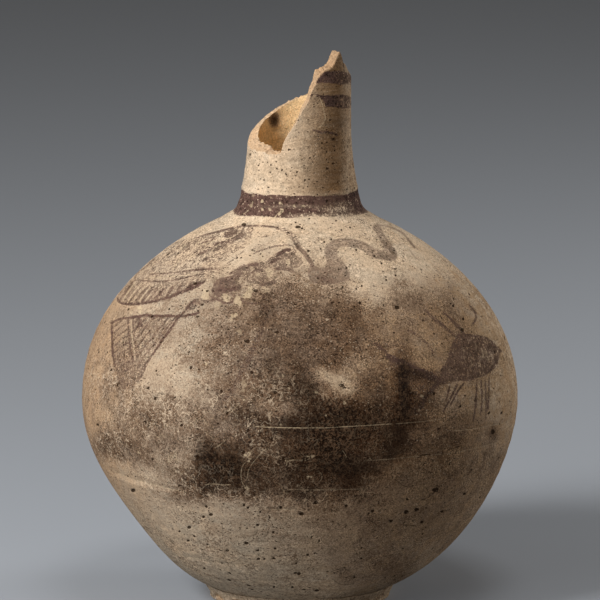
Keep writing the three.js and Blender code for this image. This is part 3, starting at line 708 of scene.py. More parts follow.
# Lines turned or scratched into the clay, in the photograph's frame: width in pixels, depth in millimetres,
# and how light each is, from -1 for a dirty groove to 1.
Line = namedtuple("Line", "width depth light points")
# Two of these lines are painted light: the shadow down a crack at the shard's tip, and a highlight on the flake
# scar's edge.
LINES = (
    Line(1.0, 0.3, 0.62, (252, 426, 262, 427, 280, 427.6, 296, 427.9, 316, 428)),
    Line(0.9, 0.3, 0.42, (300, 428, 325, 427.8, 340, 427, 363, 425.7, 395.6, 423.8)),
    Line(0.9, 0.25, 0.36, (395, 423.8, 416, 422.2, 437, 420)),
    Line(1.0, 0.3, 0.34, (362, 461, 385, 459.6, 406, 457.6, 432.6, 455, 459, 452, 492.3, 444, 512, 437.5)),
    Line(1.0, 0.25, 0.5, (450.8, 431, 470, 429.4, 487, 426.5, 513.5, 420.8)),
    Line(1.9, 0.5, 0.4, (108, 468.5, 125.5, 476.7, 143, 482, 169, 489, 189, 493)),
    Line(0.9, 0.25, 0.5, (204, 484.5, 214, 484, 223, 485, 232, 484.4)),
    Line(0.9, 0.2, 0.26, (280, 489.6, 305, 490, 330, 489.8, 373, 488.7)),
    Line(1.0, 0.25, 0.5, (269, 510, 275, 509.4, 282, 509.5, 295, 510)),
    Line(1.3, 0.2, 0.35, (181, 556, 197, 558.5, 213, 562, 244, 565)),
    Line(0.8, 0.15, 0.45, (288, 460.4, 297, 460, 306, 460.6)),
    Line(0.8, 0.1, 0.37, (191, 425, 196, 421, 202, 416.5)),
    Line(0.8, 0.1, 0.31, (202, 417, 205, 422, 208.5, 427)),
    Line(0.8, 0.1, 0.37, (190, 448, 192, 443.5, 195.5, 441.2, 200.5, 440.4)),
    Line(0.8, 0.1, 0.34, (214, 448, 219, 445.4, 223.5, 442, 227, 437.5)),
    Line(0.7, 0.1, 0.28, (203.5, 431.5, 208.5, 435, 213.5, 439)),
    Line(0.8, 0.1, 0.34, (250, 488, 245, 486.4, 241.6, 481, 241, 472, 243, 465, 247, 461.5)),
    Line(0.8, 0.1, 0.34, (250, 482, 247.5, 477, 248.6, 470, 253, 462.5, 258, 457, 263, 450.6, 270, 448)),
    Line(0.7, 0.1, 0.31, (250, 452, 253, 449.4, 255, 446.5)),
    Line(0.8, 0.1, 0.31, (341.7, 450, 344, 452.4, 347, 458)),
    Line(0.7, 0.1, 0.25, (318, 470, 322, 476, 320, 482)),
    Line(0.7, 0.1, 0.28, (275, 482, 281, 485, 284, 492, 289, 495)),
    Line(0.7, 0.1, 0.28, (268, 421, 272, 414, 280, 408.5)),
    Line(0.7, 0.1, 0.25, (228, 414, 233, 410, 239, 404)),
    Line(0.7, 0.1, 0.31, (152, 437, 155, 434.6, 158.5, 438, 161.5, 434.4, 165, 437.6, 168, 434.4)),
    Line(0.7, 0.1, 0.28, (143, 424, 147, 421.4, 150, 424.6, 155, 419.6)),
    Line(0.7, 0.1, 0.28, (162, 429, 165.6, 426, 169.4, 423.6)),
    Line(0.7, 0.1, 0.25, (176, 410, 179.4, 406, 183, 401)),
    Line(0.8, 0.1, 0.34, (176.6, 449, 176, 455, 178, 460)),
    Line(0.7, 0.1, 0.31, (213, 414, 208.5, 410.6, 205.4, 414.6)),
    Line(1.4, 0.1, 0.5, (244, 456, 248, 456.8, 250.6, 453)),
    Line(1.2, 0.1, 0.5, (306, 456, 310, 456.6, 315, 455)),
    Line(1.3, 0.1, 0.6, (307, 478, 309.4, 477.4, 312, 475.6)),
    Line(0.9, 0.5, -1, (447, 450, 454, 448.4, 462, 446)),
    Line(1.1, 0.6, -1, (420, 455.6, 426, 455, 432, 454.6)),
    Line(0.8, 0.3, -0.8, (394, 478, 401, 484, 408, 487, 417, 485.5)),
    Line(0.8, 0.3, -0.9, (420, 500.4, 427, 498.4, 430, 496, 428, 491, 426, 487)),
    Line(0.8, 0.2, -0.7, (399, 524, 410, 525.8, 417, 525)),
    Line(0.8, 0.2, -0.7, (371, 532.5, 374, 531.6, 377, 529.8)),
    Line(0.8, 0.2, -0.6, (395, 535, 398.6, 532.6, 402, 531.4)),
    Line(0.8, 0.2, -0.7, (442, 512, 446, 510.6, 450, 510)),
    Line(0.8, 0.15, -0.6, (330, 572.6, 336, 570, 343, 568.8, 349, 570)),
    Line(0.9, 0.15, -0.6, (333, 579, 338, 583, 344, 584.8, 351, 584)),
    Line(0.8, 0.15, -0.5, (335, 574, 339, 571.8, 342, 575.6, 339, 579)),
    Line(0.8, 0.15, -0.6, (170.5, 540.5, 173, 543.4, 175.6, 546.4)),
    Line(0.8, 0.15, -0.5, (183, 544, 185, 545.4, 187, 548)),
    Line(0.8, 0.15, -0.5, (206.6, 530.6, 210.4, 533, 213.6, 537.6)),
    Line(0.9, 0.15, -0.6, (252, 536, 256, 534, 258.4, 529)),
    Line(0.8, 0.15, -0.5, (263, 537, 268, 534, 268.6, 527.6)),
    Line(0.9, 0.15, -0.45, (249, 541.8, 258, 541.4, 270, 541.4)),
    Line(0.9, 0.15, -0.5, (270.6, 556, 273, 561.4, 278, 563, 282.6, 558.6)),
    Line(0.8, 0.15, -0.5, (283, 538.4, 287.4, 535.6, 291, 535)),
    Line(0.8, 0.15, -0.5, (294.6, 574.6, 297, 572, 300.4, 571)),
    Line(0.8, 0.15, -0.6, (270, 556.6, 291, 556, 299, 559.8)),
    # A shallow real groove down the outer edge of the shard's bevelled break, coloured dark as its painted
    # shadow.
    Line(1.2, 0.8, -1, (341.5, 54, 343, 60, 343.6, 66, 344, 72)),
    # A painted highlight along the raised right edge of the flake scar on the shard.
    Line(1.0, 0.1, 0.6, (319, 97, 322, 104, 324, 112, 325, 119, 321, 126, 316, 128)),
    Line(1.2, 0.2, 0.8, (249, 210, 246, 212.4, 243, 214.5)),
    Line(1.2, 0.15, 0.5, (253, 201, 252.6, 203.6, 252, 206.5)),
    Line(1.6, 0.25, 1, (283, 209, 280, 212, 277, 214.5, 273.5, 219.5)),
    Line(1.2, 0.2, 0.9, (279, 202.5, 281, 203.4, 283, 204.5)),
    Line(1.2, 0.2, 0.9, (293, 205, 294.4, 206.4, 296, 207.5)),
    Line(1.1, 0.2, 0.7, (301.5, 206, 304, 206, 306, 206.2)),
    Line(1.3, 0.2, 0.9, (269, 211, 270, 210, 270.5, 208.5)),
    Line(1.1, 0.2, 0.7, (261, 209.5, 262, 208.6, 262.5, 207.5)),
    Line(0.9, 0.1, 0.3, (252, 262, 255, 257, 258, 252)),
    Line(1.6, 0.05, 0.34, (290, 216.6, 312, 217.4, 335, 216.8, 354, 214)),
    Line(1.1, 0.1, 0.8, (172, 271, 176, 264.6, 180.6, 257.5)),
    Line(1.1, 0.1, 0.75, (179.6, 251, 182.4, 247.6, 185.4, 243.4)),
    Line(1.1, 0.1, 0.7, (195, 246.6, 197.6, 242.4, 200.4, 238.4)),
    Line(1.4, 0.1, 0.9, (219.6, 240, 221.6, 236.4, 223.4, 231.5)),
    Line(1.1, 0.1, 0.6, (195, 246.2, 205, 243.4, 213, 241.2, 225, 238.6, 236, 236.4)),
    Line(1.1, 0.1, 0.6, (210.5, 252, 215, 247, 221, 243)),
    Line(1.0, 0.1, 0.5, (188, 260, 191, 257, 194.4, 253.6)),
    Line(1.1, 0.1, 0.7, (122.5, 301, 128.6, 291, 136.4, 280.6)),
    Line(1.0, 0.1, 0.6, (127.6, 301.4, 133.6, 292.4, 141.6, 283)),
    Line(1.0, 0.1, 0.5, (132.6, 301.6, 138.6, 293.4, 146, 285)),
    Line(1.3, 0.1, 0.8, (146, 299.4, 148, 297, 150.4, 294)),
    Line(1.0, 0.1, 0.5, (138.6, 302, 143.6, 295, 151, 286.4)),
    Line(1.2, 0.1, 0.5, (146, 277.6, 158, 278, 170, 277, 186, 275, 202, 272.4)),
    Line(1.4, 0.1, 0.4, (131, 318.6, 131.5, 328, 132.4, 340, 134, 352)),
    Line(1.6, 0.1, 0.42, (481, 347, 482.6, 352, 485, 359)),
    Line(1.3, 0.1, 0.36, (485.6, 348, 487, 354, 488.6, 361)),
    Line(1.2, 0.1, 0.3, (474, 341, 476, 345, 476.6, 351)),
    Line(1.2, 0.1, 0.3, (491, 347, 493.6, 353, 493, 359)),
    Line(1.1, 0.1, 0.26, (470, 352, 472, 360, 471, 368)),
    Line(1.1, 0.1, 0.26, (489, 367, 493, 364, 496, 360)),
    Line(1.0, 0.1, 0.24, (462, 345, 464, 352, 463, 360)),
    Line(0.9, 0.1, 0.4, (246, 393, 252, 388, 258, 390)),
)


# The clay's shape.

def body_radius(height, belly):
    """Outline of the thrown body: belly * (1 - t ** rise) ** (1 / roundness), where t is the distance from
    the belly as a share of the half's height."""
    above = height > BELLY_HEIGHT
    size = np.where(above, SHOULDER.height, LOWER.height)
    rise = np.where(above, SHOULDER.rise, LOWER.rise)
    roundness = np.where(above, SHOULDER.roundness, LOWER.roundness)
    t = np.clip(np.abs(height - BELLY_HEIGHT) / size, 0, 1)
    return belly * (1 - t**rise) ** (1 / roundness)


def body_rows(low, high, count, belly, crowding=0.0):
    """Heights on the outline between low and high, evenly spaced along the curve, but closer together by the
    crowding where the fine painting is."""
    fine = np.linspace(low, high, 4000)
    radius = body_radius(fine, belly)
    weight = 1 + crowding * smooth_step(PAINT_LOW, PAINT_LOW + 16, fine[1:])
    way = np.concatenate([[0], np.cumsum(weight * np.hypot(np.diff(fine), np.diff(radius)))])
    return np.interp(np.linspace(0, way[-1], count), way, fine)


def slump(angle, height):
    """How far the slumped flank moves in: a bulge over height, squared cosine round its middle angle."""
    share = np.clip((height - SLUMP_BOTTOM) / (SLUMP_TOP - SLUMP_BOTTOM), 0, 1)
    facing = np.maximum(0, np.cos(angle - SLUMP_ANGLE))
    return SLUMP_DEPTH * np.sin(np.pi * share**SLUMP_SKEW) ** 2 * facing**2


def throwing_relief(angle, height, ribs, lumps):
    """Finger ribs that climb as a spiral, and slow lumps, as a move inwards from the ideal outline."""
    spiral = np.sin(height * 0.86 + angle) + 0.5 * np.sin(height * 2.1 - 2 * angle + 1.3)
    patches = 0.5 + 0.5 * np.sin(3 * angle + height * 0.05)
    slow = np.sin(2 * angle + height / 23) + 0.6 * np.sin(5 * angle - height / 11 + 2)
    return ribs * patches * (spiral - 1.5) / 1.5 + lumps * (slow - 1.6) / 1.6


def column_angles(count):
    """Angles of the mesh columns, spaced evenly as seen from the front: their density is the angle's cosine,
    but no less than BACK_DENSITY round the back."""
    fine = np.linspace(-np.pi, np.pi, 4001)
    density = np.maximum(np.cos(fine), BACK_DENSITY)
    way = np.concatenate([[0], np.cumsum((density[1:] + density[:-1]) / 2)])
    return np.interp(np.arange(count) / count * way[-1], way, fine)


def rings(angles, radii, heights):
    """Points on rings: radii and heights are (rows, 1) or (rows, columns)."""
    radii, heights = np.broadcast_arrays(radii, heights)
    shape = (len(radii), len(angles))
    radii, heights = np.broadcast_to(radii, shape), np.broadcast_to(heights, shape)
    return np.stack([radii * np.sin(angles), -radii * np.cos(angles), heights], axis=-1)


def line_relief(points):
    """Depth of the turned and scratched lines at each point, each a bell curve across its line; the signed
    distance to the nearest line or pale spot in millimetres; and how light that one is, from -1 for a dirty
    groove or a painted shadow to 1 for a pale scratch or a painted highlight."""
    column, row = seen_at(points)
    shape = column.shape
    column, row = column.ravel(), row.ravel()
    front = facing_share(points).ravel() > 0.5
    depth = np.zeros(column.shape)
    side = np.full(column.shape, FAR_SIDE)
    light = np.zeros(column.shape)
    for x, y, radius, pale in SPOTS:
        reach = radius + SPOT_REACH
        near = (np.abs(column - x) < reach) & (np.abs(row - y) < reach) & front
        dx, dy = column[near] - x, row[near] - y
        turn = np.arctan2(dy, dx)
        ragged = radius * (0.86 + 0.16 * np.sin(2 * turn + x) + 0.13 * np.sin(3 * turn + y))
        away = np.maximum((np.hypot(dx, dy) - ragged) * PHOTO_PIXEL, 0)
        closer = away < side[near]
        side[near] = np.where(closer, away, side[near])
        light[near] = np.where(closer, pale, light[near])
    for line in LINES:
        path = smooth_path(line.points)
        near = near_path(column, row, path, PATH_REACH) & front
        if not near.any():
            continue
        distance, share, beside = path_distance(column[near], row[near], path)
        end = smooth_step(0, 0.08, share) * smooth_step(1, 0.92, share)
        depth[near] = np.maximum(depth[near], line.depth * end * np.exp(-(distance / line.width / 1.3) ** 2))
        closer = (distance * PHOTO_PIXEL < np.abs(side[near])) & (end > 0)
        side[near] = np.where(closer, beside * (distance * PHOTO_PIXEL + 1e-4), side[near])
        reach = line.light * end * smooth_step(1.8, 1.2, distance * PHOTO_PIXEL)
        light[near] = np.where(closer, reach * min(1.0, 0.4 + 0.6 * line.width), light[near])
    return depth.reshape(shape), side.reshape(shape), light.reshape(shape)


def facing_share(points):
    """1 on the front that the photograph shows, fading to 0 round the sides."""
    angle = np.arctan2(points[..., 0], -points[..., 1])
    return smooth_step(-0.12, 0.1, np.cos(angle))


def pit_relief(points, count, depth, seed, low, high):
    """Dents at random places on the body, each a bell curve of its own width, deepest for the widest."""
    random = np.random.default_rng(seed)
    angle = random.uniform(-np.pi, np.pi, count)
    height = random.uniform(low, high, count)
    width = 0.35 + 0.55 * random.random(count) ** 4
    total = np.zeros(points.shape[:2])
    heights = points[:, 0, 2]
    for turn, z, wide in zip(angle, height, width):
        near = np.abs(heights - z) < 4 * wide
        if not near.any():
            continue
        rows = points[near]
        radius = np.hypot(rows[..., 0], rows[..., 1]).mean()
        centre = np.array([radius * math.sin(turn), -radius * math.cos(turn), z])
        distance = np.linalg.norm(rows - centre, axis=-1)
        total[near] = np.maximum(total[near], depth * min(1, wide) * np.exp(-(distance / wide) ** 2))
    return total


def seen_pits(points):
    """The pits that the photograph shows, from 0 to 1: a steep bell curve across each, drawn out along its
    row."""
    column, row = seen_at(points)
    front = facing_share(points) > 0.5
    total = np.zeros(column.shape)
    for x, y, radius, stretch in PITS:
        near = (np.abs(column - x) < PIT_REACH[0]) & (np.abs(row - y) < PIT_REACH[1]) & front
        away = np.hypot((column[near] - x) / stretch, row[near] - y) / radius
        total[near] = np.maximum(total[near], np.exp(-(away**3) * 0.6))
    return total


# Marks on the clay.

def painted(points):
    """Signed depth inside the painting in millimetres, and the strength of the paint there. The strokes go on
    from the weakest to the strongest: outside all paint the nearest stroke counts, and where a stroke lies on
    weaker paint its strength takes over across its edge."""
    column, row = seen_at(points)
    shape = column.shape
    column, row = column.ravel(), row.ravel()
    inside = np.full(column.shape, FAR_OUTSIDE)
    strength = np.zeros(column.shape)
    front = facing_share(points).ravel() >= SEEN_SHARE
    jobs = [(f.strength, smooth_path(f.points, closed=True), 0, True) for f in FILLS]
    strokes = (*WING, *BODY, *TAIL, *NECK_OF_THE_BIRD, *BUD, *NECK_MARKS)
    jobs += [(s.strength, smooth_path(s.points), s.width / 2, False) for s in strokes]
    for force, path, half, filled in sorted(jobs, key=lambda job: job[0]):
        near = near_path(column, row, path, half + PATH_REACH) & front
        if not near.any():
            continue
        if filled:
            depth = inside_depth(column[near], row[near], path)
        else:
            distance, share, _ = path_distance(column[near], row[near], path)
            taper = 0.6 + 0.4 * np.sqrt(np.clip(4 * share * (1 - share), 0, 1))
            depth = half * taper - distance
        depth = depth * PHOTO_PIXEL
        before, held = inside[near], strength[near]
        over = held + (force - held) * smooth_step(-0.25, 0.25, depth)
        strength[near] = np.where(before > 0, over, np.where(depth > before, force, held))
        inside[near] = np.maximum(before, depth)
    return inside.reshape(shape), strength.reshape(shape)


def oval_field(points, ovals):
    """How much of the soft ovals each point holds, from 0 to 1; ovals that overlap add up towards 1. Waves
    bend each oval's edge."""
    column, row = seen_at(points)
    bend_x = np.sin(row / 8.3 + column / 21) + 0.6 * np.sin(row / 3.7 - column / 9)
    bend_y = np.sin(column / 9.1 - row / 17) + 0.6 * np.sin(column / 4.3 + row / 7)
    field = np.zeros(column.shape)
    for oval in ovals:
        turn = math.radians(oval.turn)
        bend = min(4.0, 0.16 * oval.wide, 0.16 * oval.high)
        dx, dy = column - oval.column + bend * bend_x, row - oval.row + bend * bend_y
        across = (dx * math.cos(turn) + dy * math.sin(turn)) / oval.wide
        down = (dy * math.cos(turn) - dx * math.sin(turn)) / oval.high
        field = 1 - (1 - field) * (1 - oval.strength * np.exp(-(across**2 + down**2) ** 1.3 * 0.7))
    return field


def stained(points):
    """The burial stain: its ovals less the worn places on the front, and a few broad clouds on the back."""
    front = facing_share(points)
    angle = np.arctan2(points[..., 0], -points[..., 1])
    cloud = np.sin(2.3 * angle + 1) * np.sin(points[..., 2] / 21 + angle) - 0.2
    back = 0.5 * np.clip(cloud, 0, 1)
    return front * oval_field(points, STAINS) * (1 - oval_field(points, WORN)) + (1 - front) * back


# Meshes.

def ring_faces(rows, columns, closed):
    """Quads between rings, wound so that they face away from the axis when rows climb."""
    i = np.arange(rows if closed else rows - 1)[:, None]
    j = np.arange(columns)[None, :]
    after, beside = (i + 1) % rows, (j + 1) % columns
    return np.stack([i * columns + j, i * columns + beside, after * columns + beside, after * columns + j],
                    axis=-1).reshape(-1, 4)


# The vertex attributes that the clay reads, with the value of a place without a mark.
PLAIN_MARKS = {
    "slip": FAR_OUTSIDE, "slip_strength": 0.0, "soot": 0.0, "bare": 0.0, "inside": 0.0, "line_side": FAR_SIDE,
    "line_light": 0.0, "pit": 0.0, "hatch_up": BETWEEN_STROKES, "hatch_down": BETWEEN_STROKES,
    "hatch_depth": FAR_OUTSIDE,
}


def build_piece(name, node, points, marks, material, poles=None, sharp_rows=()):
    """Makes a piece from rings of points in millimetres. Without poles the last ring joins the first; with
    poles, the lowest and highest points close the two ends. marks are the vertex attributes that the material
    reads."""
    rows, columns, _ = points.shape
    places = points.reshape(-1, 3)
    faces = ring_faces(rows, columns, closed=poles is None)
    quads = [tuple(q) for q in faces.tolist()]
    values = {key: np.broadcast_to(value, (rows, columns)).ravel() for key, value in marks.items()}
    if poles is not None:
        places = np.vstack([places, poles])
        first, last = rows * columns, rows * columns + 1
        ring = np.arange(columns)
        beside = (ring + 1) % columns
        top = (rows - 1) * columns
        quads += np.stack([np.full(columns, first), beside, ring], axis=-1).tolist()
        quads += np.stack([np.full(columns, last), top + ring, top + beside], axis=-1).tolist()
        values = {key: np.append(value, [value[0], value[-1]]) for key, value in values.items()}
    mesh = bpy.data.meshes.new(name)
    mesh.from_pydata((places * MM).tolist(), [], quads)
    mesh.polygons.foreach_set("use_smooth", np.ones(len(mesh.polygons), bool))
    if len(sharp_rows):
        ends = np.zeros(len(mesh.edges) * 2, int)
        mesh.edges.foreach_get("vertices", ends)
        ends = ends.reshape(-1, 2)
        row = ends // columns
        sharp = (row[:, 0] == row[:, 1]) & np.isin(row[:, 0], np.array(sharp_rows) % rows)
        mesh.attributes.new("sharp_edge", "BOOLEAN", "EDGE").data.foreach_set("value", sharp)
    for key, plain in PLAIN_MARKS.items():
        value = values.get(key, np.full(len(places), plain))
        mesh.attributes.new(key, "FLOAT", "POINT").data.foreach_set("value", value.astype(np.float32))
    mesh.materials.append(material)
    mesh.update()
    piece = bpy.data.objects.new(name, mesh)
    bpy.context.scene.collection.objects.link(piece)
    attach(piece, "root")
    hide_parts(node)
    return piece


# Shader maths.

class Value:
    """A number socket that Python's arithmetic works on."""

    def __init__(self, tree, socket):
        self.tree = tree
        self.socket = socket

    def _maths(self, operation, *others):
        return self.tree.add("ShaderNodeMath", {"operation": operation}, [self, *others])

    def __add__(self, other):
        return self._maths("ADD", other)

    def __sub__(self, other):
        return self._maths("SUBTRACT", other)

    def __mul__(self, other):
        return self._maths("MULTIPLY", other)

    def __neg__(self):
        return self * -1

    def __radd__(self, other):
        return self + other

    def __rmul__(self, other):
        return self * other

    def __rsub__(self, other):
        return self.tree.add("ShaderNodeMath", {"operation": "SUBTRACT"}, [other, self])

    def __abs__(self):
        return self._maths("ABSOLUTE")

    def most(self, other):
        return self._maths("MAXIMUM", other)

    def least(self, other):
        return self._maths("MINIMUM", other)


class Shader:
    """A material's node tree with one method that makes any node."""

    def __init__(self, name):
        self.material = bpy.data.materials.new(name)
        self.material.use_nodes = True
        self.nodes = self.material.node_tree.nodes
        self.links = self.material.node_tree.links
        self.nodes.clear()

    def add(self, kind, settings=None, inputs=(), output=0):
        """Makes a node, sets its settings, then its inputs by order or by name, and returns one output. The
        node that ends the tree has none."""
        node = self.nodes.new(kind)
        for key, value in (settings or {}).items():
            if key == "stops":
                ramp = node.color_ramp
                for i, (place, colour) in enumerate(value):
                    stop = ramp.elements[i] if i < len(ramp.elements) else ramp.elements.new(place)
                    stop.position, stop.color = place, colour
            else:
                setattr(node, key, value)
        pairs = inputs.items() if isinstance(inputs, dict) else enumerate(inputs)
        for key, value in pairs:
            socket = node.inputs[key]
            if isinstance(value, Value):
                self.links.new(value.socket, socket)
            elif isinstance(value, bpy.types.NodeSocket):
                self.links.new(value, socket)
            else:
                socket.default_value = value
        return Value(self, node.outputs[output]) if node.outputs else None

    def step(self, low, high, value):
        """A smooth step from 0 at low to 1 at high."""
        return self.add("ShaderNodeMapRange", {"interpolation_type": "SMOOTHSTEP"},
                        {"Value": value, "From Min": low, "From Max": high, "To Min": 0.0, "To Max": 1.0})

    def mix(self, share, first, second, blend="MIX"):
        """Mixes two colours; Mix's colour sockets are the seventh and eighth."""
        return self.add("ShaderNodeMix", {"data_type": "RGBA", "blend_type": blend},
                        {0: share, 6: first, 7: second}, output=2)

    def times(self, colour, factor):
        """A colour times another, part by part."""
        return self.mix(1.0, colour, factor, "MULTIPLY")

    def vector(self, operation, first, second):
        """Vector maths on two vectors."""
        return self.add("ShaderNodeVectorMath", {"operation": operation}, [first, second])

    def scaled(self, vector, factor):
        """A vector times a number."""
        return self.add("ShaderNodeVectorMath", {"operation": "SCALE"}, {0: vector, "Scale": factor})

    def grey(self, value):
        """A grey from a number."""
        return self.add("ShaderNodeCombineColor", {}, [value, value, value])

    def mark(self, name):
        """A vertex attribute of the piece."""
        return self.add("ShaderNodeAttribute", {"attribute_name": name}, output=2)

    def noise(self, place, size, detail=3.0, roughness=0.55, distortion=0.0, shift=(0.0, 0.0, 0.0)):
        """Fractal noise from 0 to 1 with features of a size in millimetres."""
        moved = self.vector("ADD", place, shift)
        return self.add("ShaderNodeTexNoise", {}, {"Vector": moved, "Scale": 1 / size, "Detail": detail,
                                                   "Roughness": roughness, "Distortion": distortion})

    def cells(self, place, size, feature="F1", output=0, shift=(0.0, 0.0, 0.0)):
        """Voronoi cells of a size in millimetres."""
        moved = self.vector("ADD", place, shift)
        return self.add("ShaderNodeTexVoronoi", {"feature": feature},
                        {"Vector": moved, "Scale": 1 / size, "Randomness": 1.0}, output=output)


def opaque(colour):
    """A colour as a socket's default value."""
    return (colour[0], colour[1], colour[2], 1.0)


def tinted(colour, red, green, blue):
    """A colour with each part scaled, as a socket's default value."""
    return (colour[0] * red, colour[1] * green, colour[2] * blue, 1.0)


def dots(shader, place, size, radius, share, shift):
    """Round spots in a share of random cells: 1 in a spot's middle, 0 outside its radius in millimetres."""
    distance = shader.cells(place, size, shift=shift)
    lot = shader.add("ShaderNodeSeparateColor", {}, [shader.cells(place, size, output=1, shift=shift)])
    chosen = shader.step(1 - share, 1 - share + 0.02, lot)
    reach = radius / size
    return chosen * (1 - shader.step(reach * 0.65, reach, distance))


def stretches(shader, place, size, shift):
    """1 over about half of the clay and 0 over the rest, by a noise that breaks lines into lengths."""
    turned = (shift[1], shift[2], shift[0])
    return shader.step(0.5, 0.55, shader.noise(place, size, detail=1, shift=turned))


def hairs(shader, place, size, width, shift):
    """Hairs of one half width in millimetres along the borders of bent cells, broken into lengths."""
    border = shader.cells(place, size, feature="DISTANCE_TO_EDGE", shift=shift)
    kept = stretches(shader, place, size * 0.8, shift)
    return (1 - shader.step(width * 0.3 / size, width / size, border)) * kept


def threads(shader, place, size, width, shift):
    """Thin wandering lines where a noise crosses its middle, broken into short lengths."""
    worm = shader.noise(place, size, detail=1.5, roughness=0.5, distortion=1.7, shift=shift)
    kept = stretches(shader, place, size * 0.9, shift)
    return (1 - shader.step(width * 0.3, width, abs(worm - 0.5))) * kept


def count_lines(shader, count, half_width, shift):
    """1 along each whole number of a running count, and 0 further than the half width from it."""
    part = shader.add("ShaderNodeMath", {"operation": "FRACT"}, [count + shift + 0.5])
    return 1 - shader.step(half_width * 0.7, half_width * 1.25, abs(part - 0.5))


